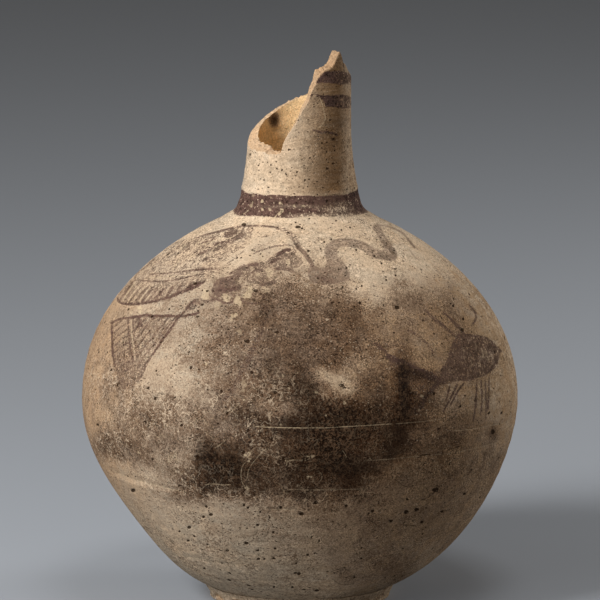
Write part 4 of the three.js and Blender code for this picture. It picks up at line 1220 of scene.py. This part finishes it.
def fired_clay(name, colours):
    """Matt fired clay with its slip painting, stains, root marks, pits and scratches."""
    shader = Shader(name)
    place = shader.scaled(shader.add("ShaderNodeTexCoord", {}, output=3), 1 / MM)
    across, _, height = (shader.add("ShaderNodeSeparateXYZ", {}, [place], output=k) for k in range(3))
    ramp, noise = shader.step, shader.noise

    # Noises that several marks share, and the clay's own calm and rough patches.
    broad = noise(place, 46, detail=4, roughness=0.6)
    patch = ramp(0.34, 0.66, noise(place, 9, 6, roughness=0.7, distortion=0.8, shift=(31, 5, 7)))
    fine = ramp(0.32, 0.68, noise(place, 2.6, 5, roughness=0.72, distortion=1.2, shift=(3, 41, 9)))
    grain = ramp(0.35, 0.65, noise(place, 1.05, 3, roughness=0.7, distortion=0.9, shift=(11, 2, 57)))
    hue = ramp(0.4, 0.6, noise(place, 14, detail=4, roughness=0.65, shift=(5, 77, 21)))
    streak_place = shader.vector("MULTIPLY", place, (0.07, 0.07, 1.0))
    streak = noise(streak_place, 1.3, detail=4, roughness=0.65)
    smooth_neck = ramp(172, 178, height) * ramp(14, -6, across)
    calm = ramp(0.42, 0.6, noise(place, 27, detail=2, shift=(60, 21, 2))).most(smooth_neck)
    rough = 1 - calm * 0.55
    soot = shader.mark("soot")
    fresh = shader.mark("bare")

    # Bare clay: greyer at the left, paler on the shoulder, orange inside and in the break.
    warm = ramp(-45, 60, across + (broad - 0.5) * 70)
    tan = shader.mix(warm, opaque(colours.grey), opaque(colours.tan))
    paler = patch * 0.36 + fine * 0.3 + (broad - 0.5) * 1.2 + (streak - 0.5) * 0.5
    paler = paler + ramp(120, 165, height) * 0.4 - ramp(180, 190, height) * 0.22
    colour = shader.mix(ramp(0.15, 0.7, paler), tan, opaque(colours.cream))
    rim = ramp(-62, -94, across + (patch - 0.5) * 14) * ramp(36, 62, height)
    colour = shader.mix(rim * 0.6, colour, opaque(colours.orange))
    colour = shader.mix(shader.mark("inside") * (0.8 + patch * 0.2), colour, opaque(colours.inside))
    colour = shader.mix(fresh * (0.7 + fine * 0.3), colour, opaque(colours.fresh))
    tint = shader.mix(hue, (1.03, 0.99, 0.95, 1.0), (0.99, 0.995, 1.0, 1.0))
    colour = shader.times(colour, tint)
    shade = 1 + ((grain - 0.5) * 0.62 + (fine - 0.5) * 0.4 + (streak - 0.5) * 0.5) * rough
    colour = shader.times(colour, shader.grey(shade))

    # The burial stain: a brown edge, a dark core and grit in both; and the neck's right side, darkened partly
    # by soot and partly by painted shade.
    deep = ramp(0.6, 0.97, soot)
    mottle = (patch - 0.5) * 0.26 + (fine - 0.5) * 0.2 + (grain - 0.5) * 0.24 + (streak - 0.5) * 0.26
    on_neck = ramp(184, 190, height)
    level = soot + mottle * ramp(0.0, 0.3, soot) * (1 - calm * 0.3 - deep * 0.4) * (1 - on_neck * 0.5)
    redder = warm * 0.5 + hue * 0.5
    halo = shader.mix(redder, tinted(colours.halo, 0.94, 1.08, 1.4), tinted(colours.halo, 1.05, 0.92, 0.74))
    core = shader.mix(redder, tinted(colours.stain, 0.6, 0.74, 1.1), tinted(colours.stain, 0.8, 0.62, 0.45))
    dark = ramp(0.4, 0.88, level)
    colour = shader.mix(ramp(0.0, 0.56, level) * 0.88, colour, halo)
    colour = shader.mix(dark * 0.97, colour, core)
    colour = shader.mix(ramp(0.86, 1.0, soot) * dark * 0.85, colour, tinted(colours.stain, 0.25, 0.22, 0.2))
    grit = ramp(0.4, 0.6, noise(place, 0.62, detail=1, roughness=0.5, shift=(23, 51, 8)))
    swarm = ramp(0.42, 0.6, noise(place, 7, detail=3, shift=(14, 6, 22)))
    grittiness = 0.06 + rough * (0.16 + warm * 0.2) + ramp(0.1, 0.5, soot) * (0.3 + swarm * 0.5)
    colour = shader.times(colour, shader.grey(1 + (grit - 0.5) * grittiness))
    # Painted shade with some soot: the neck's right side, turned away from the key lamp, made darker and
    # browner in colour.
    neck_soot_and_painted_shade = ramp(183, 189, height) * ramp(-12, 16, across) * (1 - ramp(17, 22.5, across) * 0.7)
    neck_soot_and_painted_shade = neck_soot_and_painted_shade * (1 - shader.mark("inside")) * (1 - fresh * 0.5) * (0.92 + (streak - 0.5) * 0.8)
    colour = shader.mix(neck_soot_and_painted_shade, colour, shader.times(colour, (0.38, 0.29, 0.2, 1.0)))

    # The slip painting, worn away where it is weak, and the tail's hatching.
    strength = shader.mark("slip_strength")
    flecks = dots(shader, place, 1.15, 0.34, 0.5, (61, 3, 27))
    wear = (fine - 0.5) * 0.56 + (grain - 0.5) * 0.52 + (patch - 0.5) * 0.24 + flecks * 0.4 - 0.05
    gentle = ramp(-5, 2, across) * ramp(138, 146, height) * ramp(178, 174, height)
    wear = wear * (1.4 - gentle * 0.95) + (grit - 0.5) * (1 - gentle) * ramp(0.76, 0.62, strength) * 0.5
    slip_edge = shader.mark("slip") + (fine - 0.5) * 0.5 + (grain - 0.5) * 0.4
    worn = ((strength - 0.5) * 1.06 - wear) * (1.7 - gentle * 0.7)
    slip = ramp(-0.14, 0.14, slip_edge) * ramp(-0.26, 0.26, worn) * (0.3 + strength * 0.7)
    slip = slip * (1 - gentle * 0.26)
    jitter = (fine - 0.5) * 0.26 + (grain - 0.5) * 0.1
    hatch = count_lines(shader, shader.mark("hatch_up"), 0.17, jitter)
    hatch = hatch.most(count_lines(shader, shader.mark("hatch_down"), 0.13, jitter) * 0.7)
    worn_hatch = ramp(0.0, 0.25, shader.mark("hatch_depth")) * ramp(0.3, 0.12, wear) * 0.86
    slip = slip.most(hatch * worn_hatch)
    slip_colour = shader.mix(dark * 0.95, opaque(colours.slip), tinted(colours.stain, 0.3, 0.3, 0.3))
    uneven = 1 + (grain - 0.5) * 0.7 + (fine - 0.5) * 0.8 + (patch - 0.5) * 0.5 + (streak - 0.5) * 1.0
    colour = shader.mix(slip, colour, shader.times(slip_colour, shader.grey(uneven)))

    # Rootlet marks, dark on the pale clay and pale on the stain, with dust and fine creases.
    bend = shader.add("ShaderNodeTexNoise", {}, {"Vector": place, "Scale": 0.24, "Detail": 2.0}, output=1)
    bent = shader.vector("ADD", place, shader.scaled(bend, 9.0))
    long_hairs = hairs(shader, bent, 6.5, 0.27, (17, 8, 3))
    short_hairs = hairs(shader, bent, 3.6, 0.22, (7, 28, 13))
    curls = hairs(shader, bent, 2.1, 0.22, (47, 2, 31))
    roots = long_hairs.most(short_hairs * 0.85).most(curls * 0.4) * (1 - fresh) * (1 - slip * 0.75)
    clump = 0.3 + ramp(0.4, 0.56, noise(place, 17, detail=2, shift=(1, 9, 2))) * 0.7
    low_roots = roots * ramp(80, 46, height) * ramp(0.75, 0.4, soot) * clump
    colour = shader.mix(low_roots * 0.66, colour, opaque(colours.halo))
    rooted = ramp(34, 50, height) * (0.12 + ramp(128, 104, height) * 0.88) * (1 - warm * 0.4)
    high_roots = roots * ramp(0.14, 0.36, soot) * rooted * clump
    root_colour = shader.mix(warm, opaque(colours.cream), opaque(colours.tan))
    colour = shader.mix(high_roots * (0.8 - deep * 0.6), colour, root_colour)
    dust = ramp(0.6, 0.72, noise(place, 0.7, detail=1, shift=(91, 4, 6))) * ramp(0.2, 0.6, soot)
    colour = shader.mix(dust * (0.28 - deep * 0.24), colour, opaque(colours.tan))
    short_creases = threads(shader, place, 1.5, 0.09, (7, 1, 52))
    creases = threads(shader, place, 2.3, 0.06, (71, 12, 5)).most(short_creases * 0.8)
    worked = 1 - ramp(135, 150, height) * (1 - soot) * 0.6
    colour = shader.mix(creases * rough * worked * (0.3 + clump * 0.45), colour, opaque(colours.halo))

    # Turned and scratched lines, pale or filled with dirt, and a painted shadow and a painted highlight on the
    # shard.
    line = shader.mark("line_light")
    near_line = 1 - ramp(0.06, 0.27, abs(shader.mark("line_side")) + (grain - 0.5) * 0.2)
    pale = line.most(0.0) * near_line * (0.6 + fine * 0.5)
    colour = shader.mix(pale.least(1.0) * 0.88, colour, opaque(colours.pale))
    colour = shader.mix((-line).most(0.0) * near_line * 0.9, colour, opaque(colours.stain))

    # Pits, pinholes and lime specks.
    flat = shader.vector("MULTIPLY", place, (0.75, 0.75, 1.15))
    wander = shader.add("ShaderNodeTexNoise", {}, {"Vector": place, "Scale": 1.4, "Detail": 1.0}, output=1)
    ragged = shader.vector("ADD", flat, shader.scaled(wander, 0.9))
    crowd = ramp(0.38, 0.6, noise(place, 24, detail=3, shift=(4, 60, 2)))
    big_pits = dots(shader, ragged, 8.5, 0.8, 0.34, (5, 1, 8))
    mid_pits = dots(shader, ragged, 3.2, 0.48, 0.5, (9, 1, 18))
    small_pits = dots(shader, ragged, 1.5, 0.34, 0.62, (8, 14, 3))
    deep_pits = ramp(0.34, 0.46, shader.mark("pit") + (grain - 0.5) * 0.1)
    pits = big_pits.most(mid_pits).most(small_pits * (0.55 + crowd * 0.45))
    pits = pits.most(deep_pits) * (1 - fresh * 0.6)
    pins = dots(shader, ragged, 0.9, 0.27, 0.55, (3, 19, 40)) * (0.38 + swarm * 0.62) * (1 - calm * 0.35)
    hidden = 1 - shader.mark("inside") * 0.85
    colour = shader.mix((pits * 0.92).most(pins) * hidden, colour, tinted(colours.stain, 0.7, 0.7, 0.7))
    big_specks = dots(shader, ragged, 8.0, 0.7, 0.3, (22, 3, 1))
    specks = dots(shader, ragged, 1.0, 0.27, 0.45, (2, 33, 12)).most(big_specks)
    specks = specks * (0.6 - deep * 0.53) * rough * (1 - slip * 0.5)
    colour = shader.mix(specks, colour, opaque(colours.cream))

    bump = fine * 0.07 + grain * 0.06 + streak * 0.05 - pits * 0.35 - near_line * abs(line) * 0.08
    normal = shader.add("ShaderNodeBump", {}, {"Strength": 1.0, "Distance": MM, "Height": bump})
    roughness = 0.93 - slip * 0.06 - dark * 0.08
    surface = shader.add("ShaderNodeBsdfPrincipled", {}, {
        "Base Color": colour, "Roughness": roughness, "Normal": normal, "Specular IOR Level": 0.05})
    shader.add("ShaderNodeOutputMaterial", {}, {"Surface": surface})
    return shader.material


def clay_material(context):
    """The jug's one clay material, made once."""
    found = bpy.data.materials.get("painted_fired_clay")
    return found or fired_clay("painted_fired_clay", context.scene.jug_colours)


# The pieces.

def body_wall(context, low, high, outer_rows, inner_rows, crowding=0.0):
    """Outer and inner rings of the thrown body between two heights, with the marks of the outer wall. The
    outer wall is the ideal outline less the slump, the relief, the lines and the pits; the inner wall is a
    plain offset of the outline."""
    sizes = context.scene.jug_sizes
    belly = sizes.belly_radius / MM
    angles = column_angles(sizes.columns)
    heights = body_rows(low, high, outer_rows, belly, crowding)[:, None]
    radii = body_radius(heights, belly) - slump(angles, heights)
    radii = radii + throwing_relief(angles, heights, sizes.rib_depth / MM, sizes.lump_depth / MM)
    base = rings(angles, radii, heights)
    depth, side, light = line_relief(base)
    deepest = sizes.pit_depth / MM
    pits = pit_relief(base, sizes.pit_count, deepest, PIT_SEED, PIT_LOW, PIT_HIGH)
    seen = seen_pits(base)
    outer = rings(angles, radii - depth - np.maximum(pits, seen * deepest * 0.6), heights)
    inner_heights = body_rows(low, high, inner_rows, belly)[:, None]
    inner_radii = body_radius(inner_heights, belly) - BODY_WALL * 1.15 - slump(angles, inner_heights)
    inner = rings(angles, inner_radii, inner_heights)
    slip, strength = painted(base)
    up, down, inside = hatched(base)
    marks = {
        "slip": slip, "slip_strength": strength, "soot": stained(base),
        "line_side": side, "line_light": light,
        "pit": np.maximum(np.clip(pits / deepest * 1.4, 0, 1), seen),
        "hatch_up": up, "hatch_down": down, "hatch_depth": inside,
    }
    return angles, outer, inner, marks


def spread_marks(marks, before, after, columns, inside=0.0):
    """Marks of the outer wall with plain rows put before and after it."""
    spread = {}
    for key, value in marks.items():
        plain = PLAIN_MARKS[key]
        spread[key] = np.vstack([np.full((before, columns), plain), value, np.full((after, columns), plain)])
    rows = next(iter(spread.values())).shape[0]
    within = np.zeros((rows, columns))
    within[rows - after:] = inside
    spread["inside"] = within
    return spread


class JUG_OT_lower_body(bpy.types.Operator):
    """Build the thrown lower bowl with its floor"""

    bl_idname = "jug.lower_body"
    bl_label = "Lower body"

    def execute(self, context):
        angles, outer, inner, marks = body_wall(context, FOOT_RECESS, SEAM_HEIGHT, 130, 26)
        inner = inner[inner[:, 0, 2] > FLOOR_TOP + 3][::-1]
        floor_radius = np.hypot(inner[-1, 0, 0], inner[-1, 0, 1])
        under = rings(angles, np.array([[4.0], [14.0], [28.0]]), np.full((3, 1), FOOT_RECESS))
        floor = rings(angles, floor_radius * np.array([[0.86], [0.6], [0.3], [0.08]]),
                      FLOOR_TOP + np.array([[0.9], [0.2], [0.0], [0.0]]))
        points = np.concatenate([under, outer, inner, floor])
        marks = spread_marks(marks, len(under), len(inner) + len(floor), len(angles), inside=0.8)
        poles = np.array([[0, 0, FOOT_RECESS], [0, 0, FLOOR_TOP]])
        edge = len(under) + len(outer)
        build_piece("lower_body_clay", "lower_body", points, marks, clay_material(context),
                    poles, (len(under), edge - 1, edge))
        return {"FINISHED"}


class JUG_OT_upper_body(bpy.types.Operator):
    """Build the thrown upper bowl from the seam to the shoulder's opening"""

    bl_idname = "jug.upper_body"
    bl_label = "Upper body"

    def execute(self, context):
        angles, outer, inner, marks = body_wall(context, SEAM_HEIGHT, SHOULDER_TOP, 201, 18, 0.8)
        inner = inner[np.hypot(inner[:, 0, 0], inner[:, 0, 1]) > THROAT_RADIUS + BODY_WALL][::-1]
        seat = rings(angles, np.array([[COLLAR_RADIUS], [THROAT_RADIUS], [THROAT_RADIUS]]),
                     np.array([[NECK_SEAT], [NECK_SEAT], [NECK_SEAT - BODY_WALL / 2]]))
        points = np.concatenate([outer, seat, inner])
        marks = spread_marks(marks, 0, len(seat) + len(inner), len(angles), inside=0.8)
        build_piece("upper_body_clay", "upper_body", points, marks, clay_material(context),
                    None, (0, len(outer) - 1, len(outer), len(outer) + 1, len(points) - 1))
        return {"FINISHED"}


class JUG_OT_neck_collar(bpy.types.Operator):
    """Build the collar of clay that lutes the neck to the shoulder, with its dark band"""

    bl_idname = "jug.neck_collar"
    bl_label = "Neck collar"

    def execute(self, context):
        belly = context.scene.jug_sizes.belly_radius / MM
        angles = column_angles(400)
        foot = float(body_radius(SHOULDER_TOP, belly))
        t = np.linspace(0, 1, 60)[:, None]
        path = smooth_path(((foot, SHOULDER_TOP), *COLLAR_PROFILE, (NECK_BASE_RADIUS, COLLAR_TOP)))
        radii = np.interp(t, np.linspace(0, 1, len(path)), path[:, 0])
        heights = np.interp(t, np.linspace(0, 1, len(path)), path[:, 1])
        swell = np.sin(np.pi * t)
        radii = radii - swell * (0.12 + 0.1 * np.sin(3 * angles + heights) + 0.06 * np.sin(11 * angles))
        outer = rings(angles, radii, heights)
        inner_radius = NECK_FOOT_RADIUS + 0.05
        inner = rings(angles, np.array([[inner_radius], [inner_radius], [foot]]),
                      np.array([[COLLAR_TOP], [NECK_SEAT], [NECK_SEAT]]))
        band_low = 176.3 + 0.9 * np.cos(2 * angles) + 0.3 * np.sin(7 * angles)
        band_high = COLLAR_TOP - 0.4 + 0.5 * np.sin(3 * angles + 2) + 0.2 * np.sin(13 * angles)
        band = np.minimum(heights - band_low, band_high - heights)
        slip, strength = painted(outer)
        worn = oval_field(outer, COLLAR_WORN)
        strength = np.where(band > slip, 1.06 * (1 - worn * facing_share(outer)), strength)
        _, side, light = line_relief(outer)
        marks = {"slip": np.maximum(slip, band), "slip_strength": strength, "soot": stained(outer),
                 "pit": seen_pits(outer), "line_side": side, "line_light": light}
        points = np.concatenate([outer, inner])
        marks = spread_marks(marks, 0, len(inner), len(angles))
        build_piece("neck_collar_clay", "neck_collar", points, marks, clay_material(context),
                    None, (0, len(outer) - 1, len(outer)))
        return {"FINISHED"}


def neck_radius(height):
    """The neck's outer radius: a quadratic taper from the collar up, then straight."""
    share = np.clip((height - COLLAR_TOP) / (NECK_TAPER_TOP - COLLAR_TOP), 0, 1)
    return NECK_TOP_RADIUS + (NECK_BASE_RADIUS - NECK_TOP_RADIUS) * (1 - share) ** 1.8


class JUG_OT_neck(bpy.types.Operator):
    """Build the thrown neck with its slanting break"""

    bl_idname = "jug.neck"
    bl_label = "Neck"

    def execute(self, context):
        columns = 480
        angles = np.arange(columns) / columns * 2 * np.pi - np.pi
        table = np.array(NECK_BREAK)
        turn = (np.degrees(angles) + 104) % 360 - 104
        top = np.interp(turn, table[:, 0], table[:, 1])
        rise = np.interp(turn, table[:, 0], table[:, 2])
        crumble = np.sin(23 * angles + 1) * 0.22 + np.sin(41 * angles) * 0.16 + np.sin(87 * angles + 2) * 0.1
        crumble = crumble * (0.3 + 0.7 * smooth_step(-0.3, 0.2, np.cos(angles)))
        top = np.minimum(top + crumble, CAD_HIGH.z / MM - 0.05)
        share = np.linspace(0, 1, 118)[:, None]
        heights = COLLAR_TOP + (top - COLLAR_TOP) * share
        rib = 0.035 * np.sin(heights * 1.15 + angles) + 0.02 * np.sin(heights * 3.1 - 2 * angles)
        radii = neck_radius(heights) + (rib - 0.15) * smooth_step(0, 0.06, share)
        radii = radii - 0.35 * smooth_step(0.988, 1, share)
        outer = rings(angles, radii, heights)
        w = np.linspace(0.12, 0.88, 9)[:, None]
        crack = 0.35 * np.sin(31 * angles + 7 * w) + 0.25 * np.sin(13 * angles - 9 * w)
        crack = crack + 0.2 * np.sin(67 * angles)
        face_heights = top + rise * w + crack * np.sin(np.pi * w)
        face = rings(angles, radii[-1] - NECK_WALL * w, np.minimum(face_heights, CAD_HIGH.z / MM - 0.05))
        share = np.linspace(1, 0, 60)[:, None]
        inner_top = top + rise - 0.3
        inner_heights = NECK_SEAT + (inner_top - NECK_SEAT) * share
        inner_rib = 0.06 * np.sin(inner_heights * 1.1 + angles)
        inner_radii = neck_radius(inner_heights) - NECK_WALL + inner_rib - 0.1
        inner = rings(angles, np.maximum(inner_radii, NECK_TOP_RADIUS - NECK_WALL - 0.3), inner_heights)
        foot = rings(angles, np.full((2, 1), NECK_FOOT_RADIUS), np.array([[NECK_SEAT], [COLLAR_TOP - 0.05]]))
        points = np.concatenate([foot, outer, face, inner])
        marks = self.marks(angles, outer, face, inner, foot)
        edge = len(foot) + len(outer)
        build_piece("neck_clay", "neck", points, marks, clay_material(context), None,
                    (0, 1, 2, edge - 1, edge + len(face)))
        return {"FINISHED"}

    def marks(self, angles, outer, face, inner, foot):
        """The two bands on the shard, the flake scar that cuts them, and the core in the break."""
        height = outer[..., 2] - BAND_TILT * np.cos(angles)
        upper = BAND_HALF - np.abs(height - UPPER_BAND) + 0.3 * np.sin(9 * angles)
        lower = BAND_HALF - np.abs(height - LOWER_BAND) + 0.3 * np.sin(7 * angles + 1)
        column, row = seen_at(outer)
        scar_depth = inside_depth(column, row, smooth_path(FLAKE_SCAR, closed=True))
        bare = smooth_step(-0.8, 0.8, scar_depth) * facing_share(outer)
        smudge = oval_field(outer, NECK_STAINS) * facing_share(outer)
        bands = np.maximum(upper, lower)
        slip, strength = painted(outer)
        band_strength = np.interp(column, BAND_COLUMNS, BAND_STRENGTHS) * (1 - bare)
        strength = np.where(bands > slip, band_strength, strength)
        slip = np.maximum(slip, bands)
        rim = smooth_step(0.985, 1, np.linspace(0, 1, len(outer)))[:, None] * np.ones(slip.shape)
        _, side, light = line_relief(outer)
        marks = {"slip": slip, "slip_strength": strength * (1 - rim), "soot": smudge, "pit": seen_pits(outer),
                 "bare": np.maximum(bare * 0.3, rim), "line_side": side, "line_light": light}
        rows_after = len(face) + len(inner)
        marks = spread_marks(marks, len(foot), rows_after, len(angles), inside=1.0)
        start = len(foot) + len(outer)
        marks["bare"][start:start + len(face)] = 1.0
        marks["inside"][start:start + len(face)] = 0.0
        spot = oval_field(inner, (INNER_SPOT,)) * smooth_step(0.2, -0.2, np.cos(angles))
        marks["soot"][start + len(face):] = spot
        return marks


class JUG_OT_foot_ring(bpy.types.Operator):
    """Build the turned foot ring with its chipped edge"""

    bl_idname = "jug.foot_ring"
    bl_label = "Foot ring"

    def execute(self, context):
        belly = context.scene.jug_sizes.belly_radius / MM
        angles = column_angles(520)
        lap_heights = np.linspace(FOOT_LIP_HEIGHT, FOOT_RECESS + 0.3, 8)[:, None]
        tuck = smooth_step(FOOT_LIP_HEIGHT, FOOT_LIP_HEIGHT - 1, lap_heights)
        lap_radii = body_radius(lap_heights, belly) + 0.15 * tuck
        side = np.linspace(0, 1, 34)[:, None]
        lip = float(lap_radii[0, 0]) + 0.25
        side_radii = FOOT_RADIUS + (lip - FOOT_RADIUS) * side**1.3
        side_heights = FOOT_EDGE + (FOOT_LIP_HEIGHT - 0.2 - FOOT_EDGE) * side
        side_radii = side_radii - 0.12 - 0.12 * np.sin(5 * angles + side_heights)
        bare = np.zeros(side_radii.shape)
        for degrees, width, high, depth in FOOT_CHIPS:
            away = (angles - math.radians(degrees) + np.pi) % (2 * np.pi) - np.pi
            across = away * FOOT_LIP_RADIUS / (width / 2)
            up = (side_heights - FOOT_CHIP_HEIGHT) / (high / 2)
            ragged = 1 + 0.25 * np.sin(away * 60) + 0.15 * np.sin(away * 131 + 2)
            dent = np.clip(1 - across**2 - up**2, 0, 1) ** 0.5 * ragged
            side_radii = side_radii - depth * dent
            bare = np.maximum(bare, smooth_step(0.05, 0.4, dent))
        inner_radius = FOOT_RADIUS - FOOT_WIDTH
        under = np.array([[inner_radius + FOOT_EDGE + 0.3, 0.0], [inner_radius + FOOT_EDGE + 2, 0.0],
                          [FOOT_RADIUS - FOOT_EDGE - 2, 0.0], [FOOT_RADIUS - FOOT_EDGE - 0.3, 0.0],
                          [FOOT_RADIUS - FOOT_EDGE * 0.35, FOOT_EDGE * 0.3]])
        meeting = float(body_radius(FOOT_RECESS, belly))
        seat = np.array([[meeting, FOOT_RECESS], [inner_radius, FOOT_RECESS], [inner_radius, FOOT_EDGE],
                         [inner_radius + FOOT_EDGE * 0.35, FOOT_EDGE * 0.3]])
        bottom = rings(angles, under[:, :1], under[:, 1:])
        sides = rings(angles, side_radii, side_heights)
        lap = rings(angles, lap_radii, lap_heights)
        top = rings(angles, seat[:, :1], seat[:, 1:])
        points = np.concatenate([bottom, sides, lap, top])
        marks = {"slip": np.full(side_radii.shape, FAR_OUTSIDE), "bare": bare * 0.8, "soot": 0 * bare}
        marks = spread_marks(marks, len(bottom), len(lap) + len(top), len(angles))
        build_piece("foot_ring_clay", "foot_ring", points, marks, clay_material(context))
        return {"FINISHED"}


class JUG_OT_handle_root(bpy.types.Operator):
    """Build the broken root of the lost strap handle"""

    bl_idname = "jug.handle_root"
    bl_label = "Handle root"

    def execute(self, context):
        belly = context.scene.jug_sizes.belly_radius / MM
        seat_height = NECK_SEAT - HANDLE_DROP
        seat_radius = float(body_radius(seat_height, belly))
        slope = math.atan(float(body_radius(seat_height - 1.0, belly)) - seat_radius)
        lean = slope + HANDLE_LEAN
        columns, shaft = 120, 26
        turn = np.arange(columns) / columns * 2 * np.pi
        up = np.linspace(-9, HANDLE_STUMP - 1.5, shaft)[:, None]
        flare = HANDLE_FLARE * np.clip(1 - up / HANDLE_FLARE, 0, 1.4) ** 2
        half = HANDLE_WIDTH / 2 + flare - 0.12 * np.sin(7 * turn + up)
        side = half * np.cos(turn)
        thick = half * np.sin(turn) * HANDLE_THICKNESS / HANDLE_WIDTH
        rise = np.broadcast_to(up, side.shape)
        cap_share = np.array([[0.93], [0.8], [0.6], [0.4], [0.2], [0.06]])
        cap_side, cap_thick = side[-1] * cap_share, thick[-1] * cap_share
        rough = 0.3 * np.sin(9 * turn) * cap_share + 0.25 * np.sin(17 * turn + 1) * cap_share
        cap_rise = up[-1, 0] + 0.8 * (1 - cap_share**2) + rough
        pairs = (side, cap_side), (thick, cap_thick), (rise, cap_rise)
        local = np.stack([np.vstack(pair) for pair in pairs], axis=-1)
        local = local[:, ::-1]
        sine, cosine = math.sin(lean), math.cos(lean)
        x = local[..., 0]
        back = seat_radius + local[..., 2] * cosine - local[..., 1] * sine
        height = seat_height + local[..., 2] * sine + local[..., 1] * cosine
        points = np.stack([x, back, height], axis=-1)
        points[:shaft, :, 1] = np.maximum(points[:shaft, :, 1], 0)
        bare = np.zeros(points.shape[:2])
        bare[shaft:] = 1.0
        poles = np.array([points[0].mean(0), points[-1].mean(0)])
        build_piece("handle_root_clay", "handle_root", points[:, ::-1], {"bare": bare},
                    clay_material(context), poles, (shaft,))
        return {"FINISHED"}


def plain_material(name, colour, roughness, shown):
    """A plain matt surface that the camera sees in one colour and that bounces another onto the jug."""
    shader = Shader(name)
    camera, glossy, through = (shader.add("ShaderNodeLightPath", output=f"Is {kind} Ray")
                               for kind in ("Camera", "Glossy", "Transmission"))
    tint = shader.mix(camera.most(glossy).most(through), opaque(colour), opaque(shown))
    surface = shader.add("ShaderNodeBsdfPrincipled", {}, {"Base Color": tint, "Roughness": roughness})
    shader.add("ShaderNodeOutputMaterial", {}, {"Surface": surface})
    return shader.material


def soft_room(world, shown):
    """Dim warm light from all round, and the floor's own pale colour where the camera or a mirror sees past
    the floor."""
    tree = world.node_tree
    back = tree.nodes["Background"]
    back.inputs["Color"].default_value = ROOM_LIGHT
    back.inputs["Strength"].default_value = ROOM_STRENGTH
    plain = tree.nodes.new("ShaderNodeBackground")
    plain.inputs["Color"].default_value = opaque([part * PAST_THE_FLOOR for part in shown])
    seen = tree.nodes.new("ShaderNodeLightPath")
    either, any_of_three = (tree.nodes.new("ShaderNodeMath") for _ in range(2))
    either.operation = any_of_three.operation = "MAXIMUM"
    tree.links.new(seen.outputs["Is Camera Ray"], either.inputs[0])
    tree.links.new(seen.outputs["Is Glossy Ray"], either.inputs[1])
    tree.links.new(either.outputs[0], any_of_three.inputs[0])
    tree.links.new(seen.outputs["Is Transmission Ray"], any_of_three.inputs[1])
    mixed = tree.nodes.new("ShaderNodeMixShader")
    tree.links.new(any_of_three.outputs[0], mixed.inputs[0])
    tree.links.new(back.outputs[0], mixed.inputs[1])
    tree.links.new(plain.outputs[0], mixed.inputs[2])
    tree.links.new(mixed.outputs[0], tree.nodes["World Output"].inputs["Surface"])


def area_lamp(name, place, width, power):
    """A square soft lamp, turned to the jug."""
    lamp = bpy.data.lights.new(name, "AREA")
    lamp.shape, lamp.size, lamp.energy = "SQUARE", width, power
    holder = bpy.data.objects.new(name, lamp)
    bpy.context.scene.collection.objects.link(holder)
    holder.location = place
    direction = np.array(LAMP_AIM) - np.array(place)
    holder.rotation_euler = Vector(direction).to_track_quat("-Z", "Y").to_euler()


class JUG_OT_stage(bpy.types.Operator):
    """Build the pale floor, the soft light and the camera of the photograph"""

    bl_idname = "jug.stage"
    bl_label = "Stage"

    def execute(self, context):
        scene = context.scene
        floor_colour = scene.jug_colours.floor
        mesh = bpy.data.meshes.new("floor")
        corners = [(x * FLOOR_REACH, y * FLOOR_REACH, 0) for x, y in ((-1, -1), (1, -1), (1, 1), (-1, 1))]
        mesh.from_pydata(corners, [], [(0, 1, 2, 3)])
        bounced = [part * FLOOR_BOUNCE for part in floor_colour]
        mesh.materials.append(plain_material("pale_floor", bounced, FLOOR_ROUGHNESS, floor_colour))
        floor = bpy.data.objects.new("floor", mesh)
        scene.collection.objects.link(floor)

        for lamp in LAMPS:
            area_lamp(*lamp)
        world = bpy.data.worlds.new("soft_room")
        world.use_nodes = True
        soft_room(world, floor_colour)
        scene.world = world

        lens = bpy.data.cameras.new("photo_camera")
        lens.sensor_width = SENSOR
        lens.lens = SENSOR * VIEW_DISTANCE / (PHOTO_SIDE * PHOTO_PIXEL)
        lens.shift_x = (PHOTO_SIDE / 2 - AXIS_COLUMN) / PHOTO_SIDE
        camera = bpy.data.objects.new("photo_camera", lens)
        camera.location = (0, -VIEW_DISTANCE * math.cos(VIEW_TILT) * MM,
                           (AIM_HEIGHT + VIEW_DISTANCE * math.sin(VIEW_TILT)) * MM)
        camera.rotation_euler = (math.pi / 2 - VIEW_TILT, 0, 0)
        scene.collection.objects.link(camera)
        scene.camera = camera
        scene.view_settings.view_transform = "Standard"
        return {"FINISHED"}


class JUG_PT_panel(bpy.types.Panel):
    """Sizes, colours and the pieces, in the order in which they are built"""

    bl_label = "Broken painted jug"
    bl_idname = "JUG_PT_panel"
    bl_space_type = "VIEW_3D"
    bl_region_type = "UI"
    bl_category = "Jug"

    def draw(self, context):
        for group in (context.scene.jug_sizes, context.scene.jug_colours):
            for key in group.__annotations__:
                self.layout.prop(group, key)
        for operator in OPERATORS:
            self.layout.operator(operator.bl_idname)


OPERATORS = (
    JUG_OT_stage, JUG_OT_foot_ring, JUG_OT_lower_body, JUG_OT_upper_body, JUG_OT_neck_collar, JUG_OT_neck,
    JUG_OT_handle_root,
)
CLASSES = (JugSizes, JugColours, *OPERATORS, JUG_PT_panel)


def register():
    for item in CLASSES:
        bpy.utils.register_class(item)
    bpy.types.Scene.jug_sizes = bpy.props.PointerProperty(type=JugSizes)
    bpy.types.Scene.jug_colours = bpy.props.PointerProperty(type=JugColours)


def unregister():
    del bpy.types.Scene.jug_colours
    del bpy.types.Scene.jug_sizes
    for item in reversed(CLASSES):
        bpy.utils.unregister_class(item)


def main():
    """Registers the classes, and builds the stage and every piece."""
    register()
    bpy.ops.jug.stage()
    bpy.ops.jug.foot_ring()
    bpy.ops.jug.lower_body()
    bpy.ops.jug.upper_body()
    bpy.ops.jug.neck_collar()
    bpy.ops.jug.neck()
    bpy.ops.jug.handle_root()


if __name__ == "__main__":
    main()
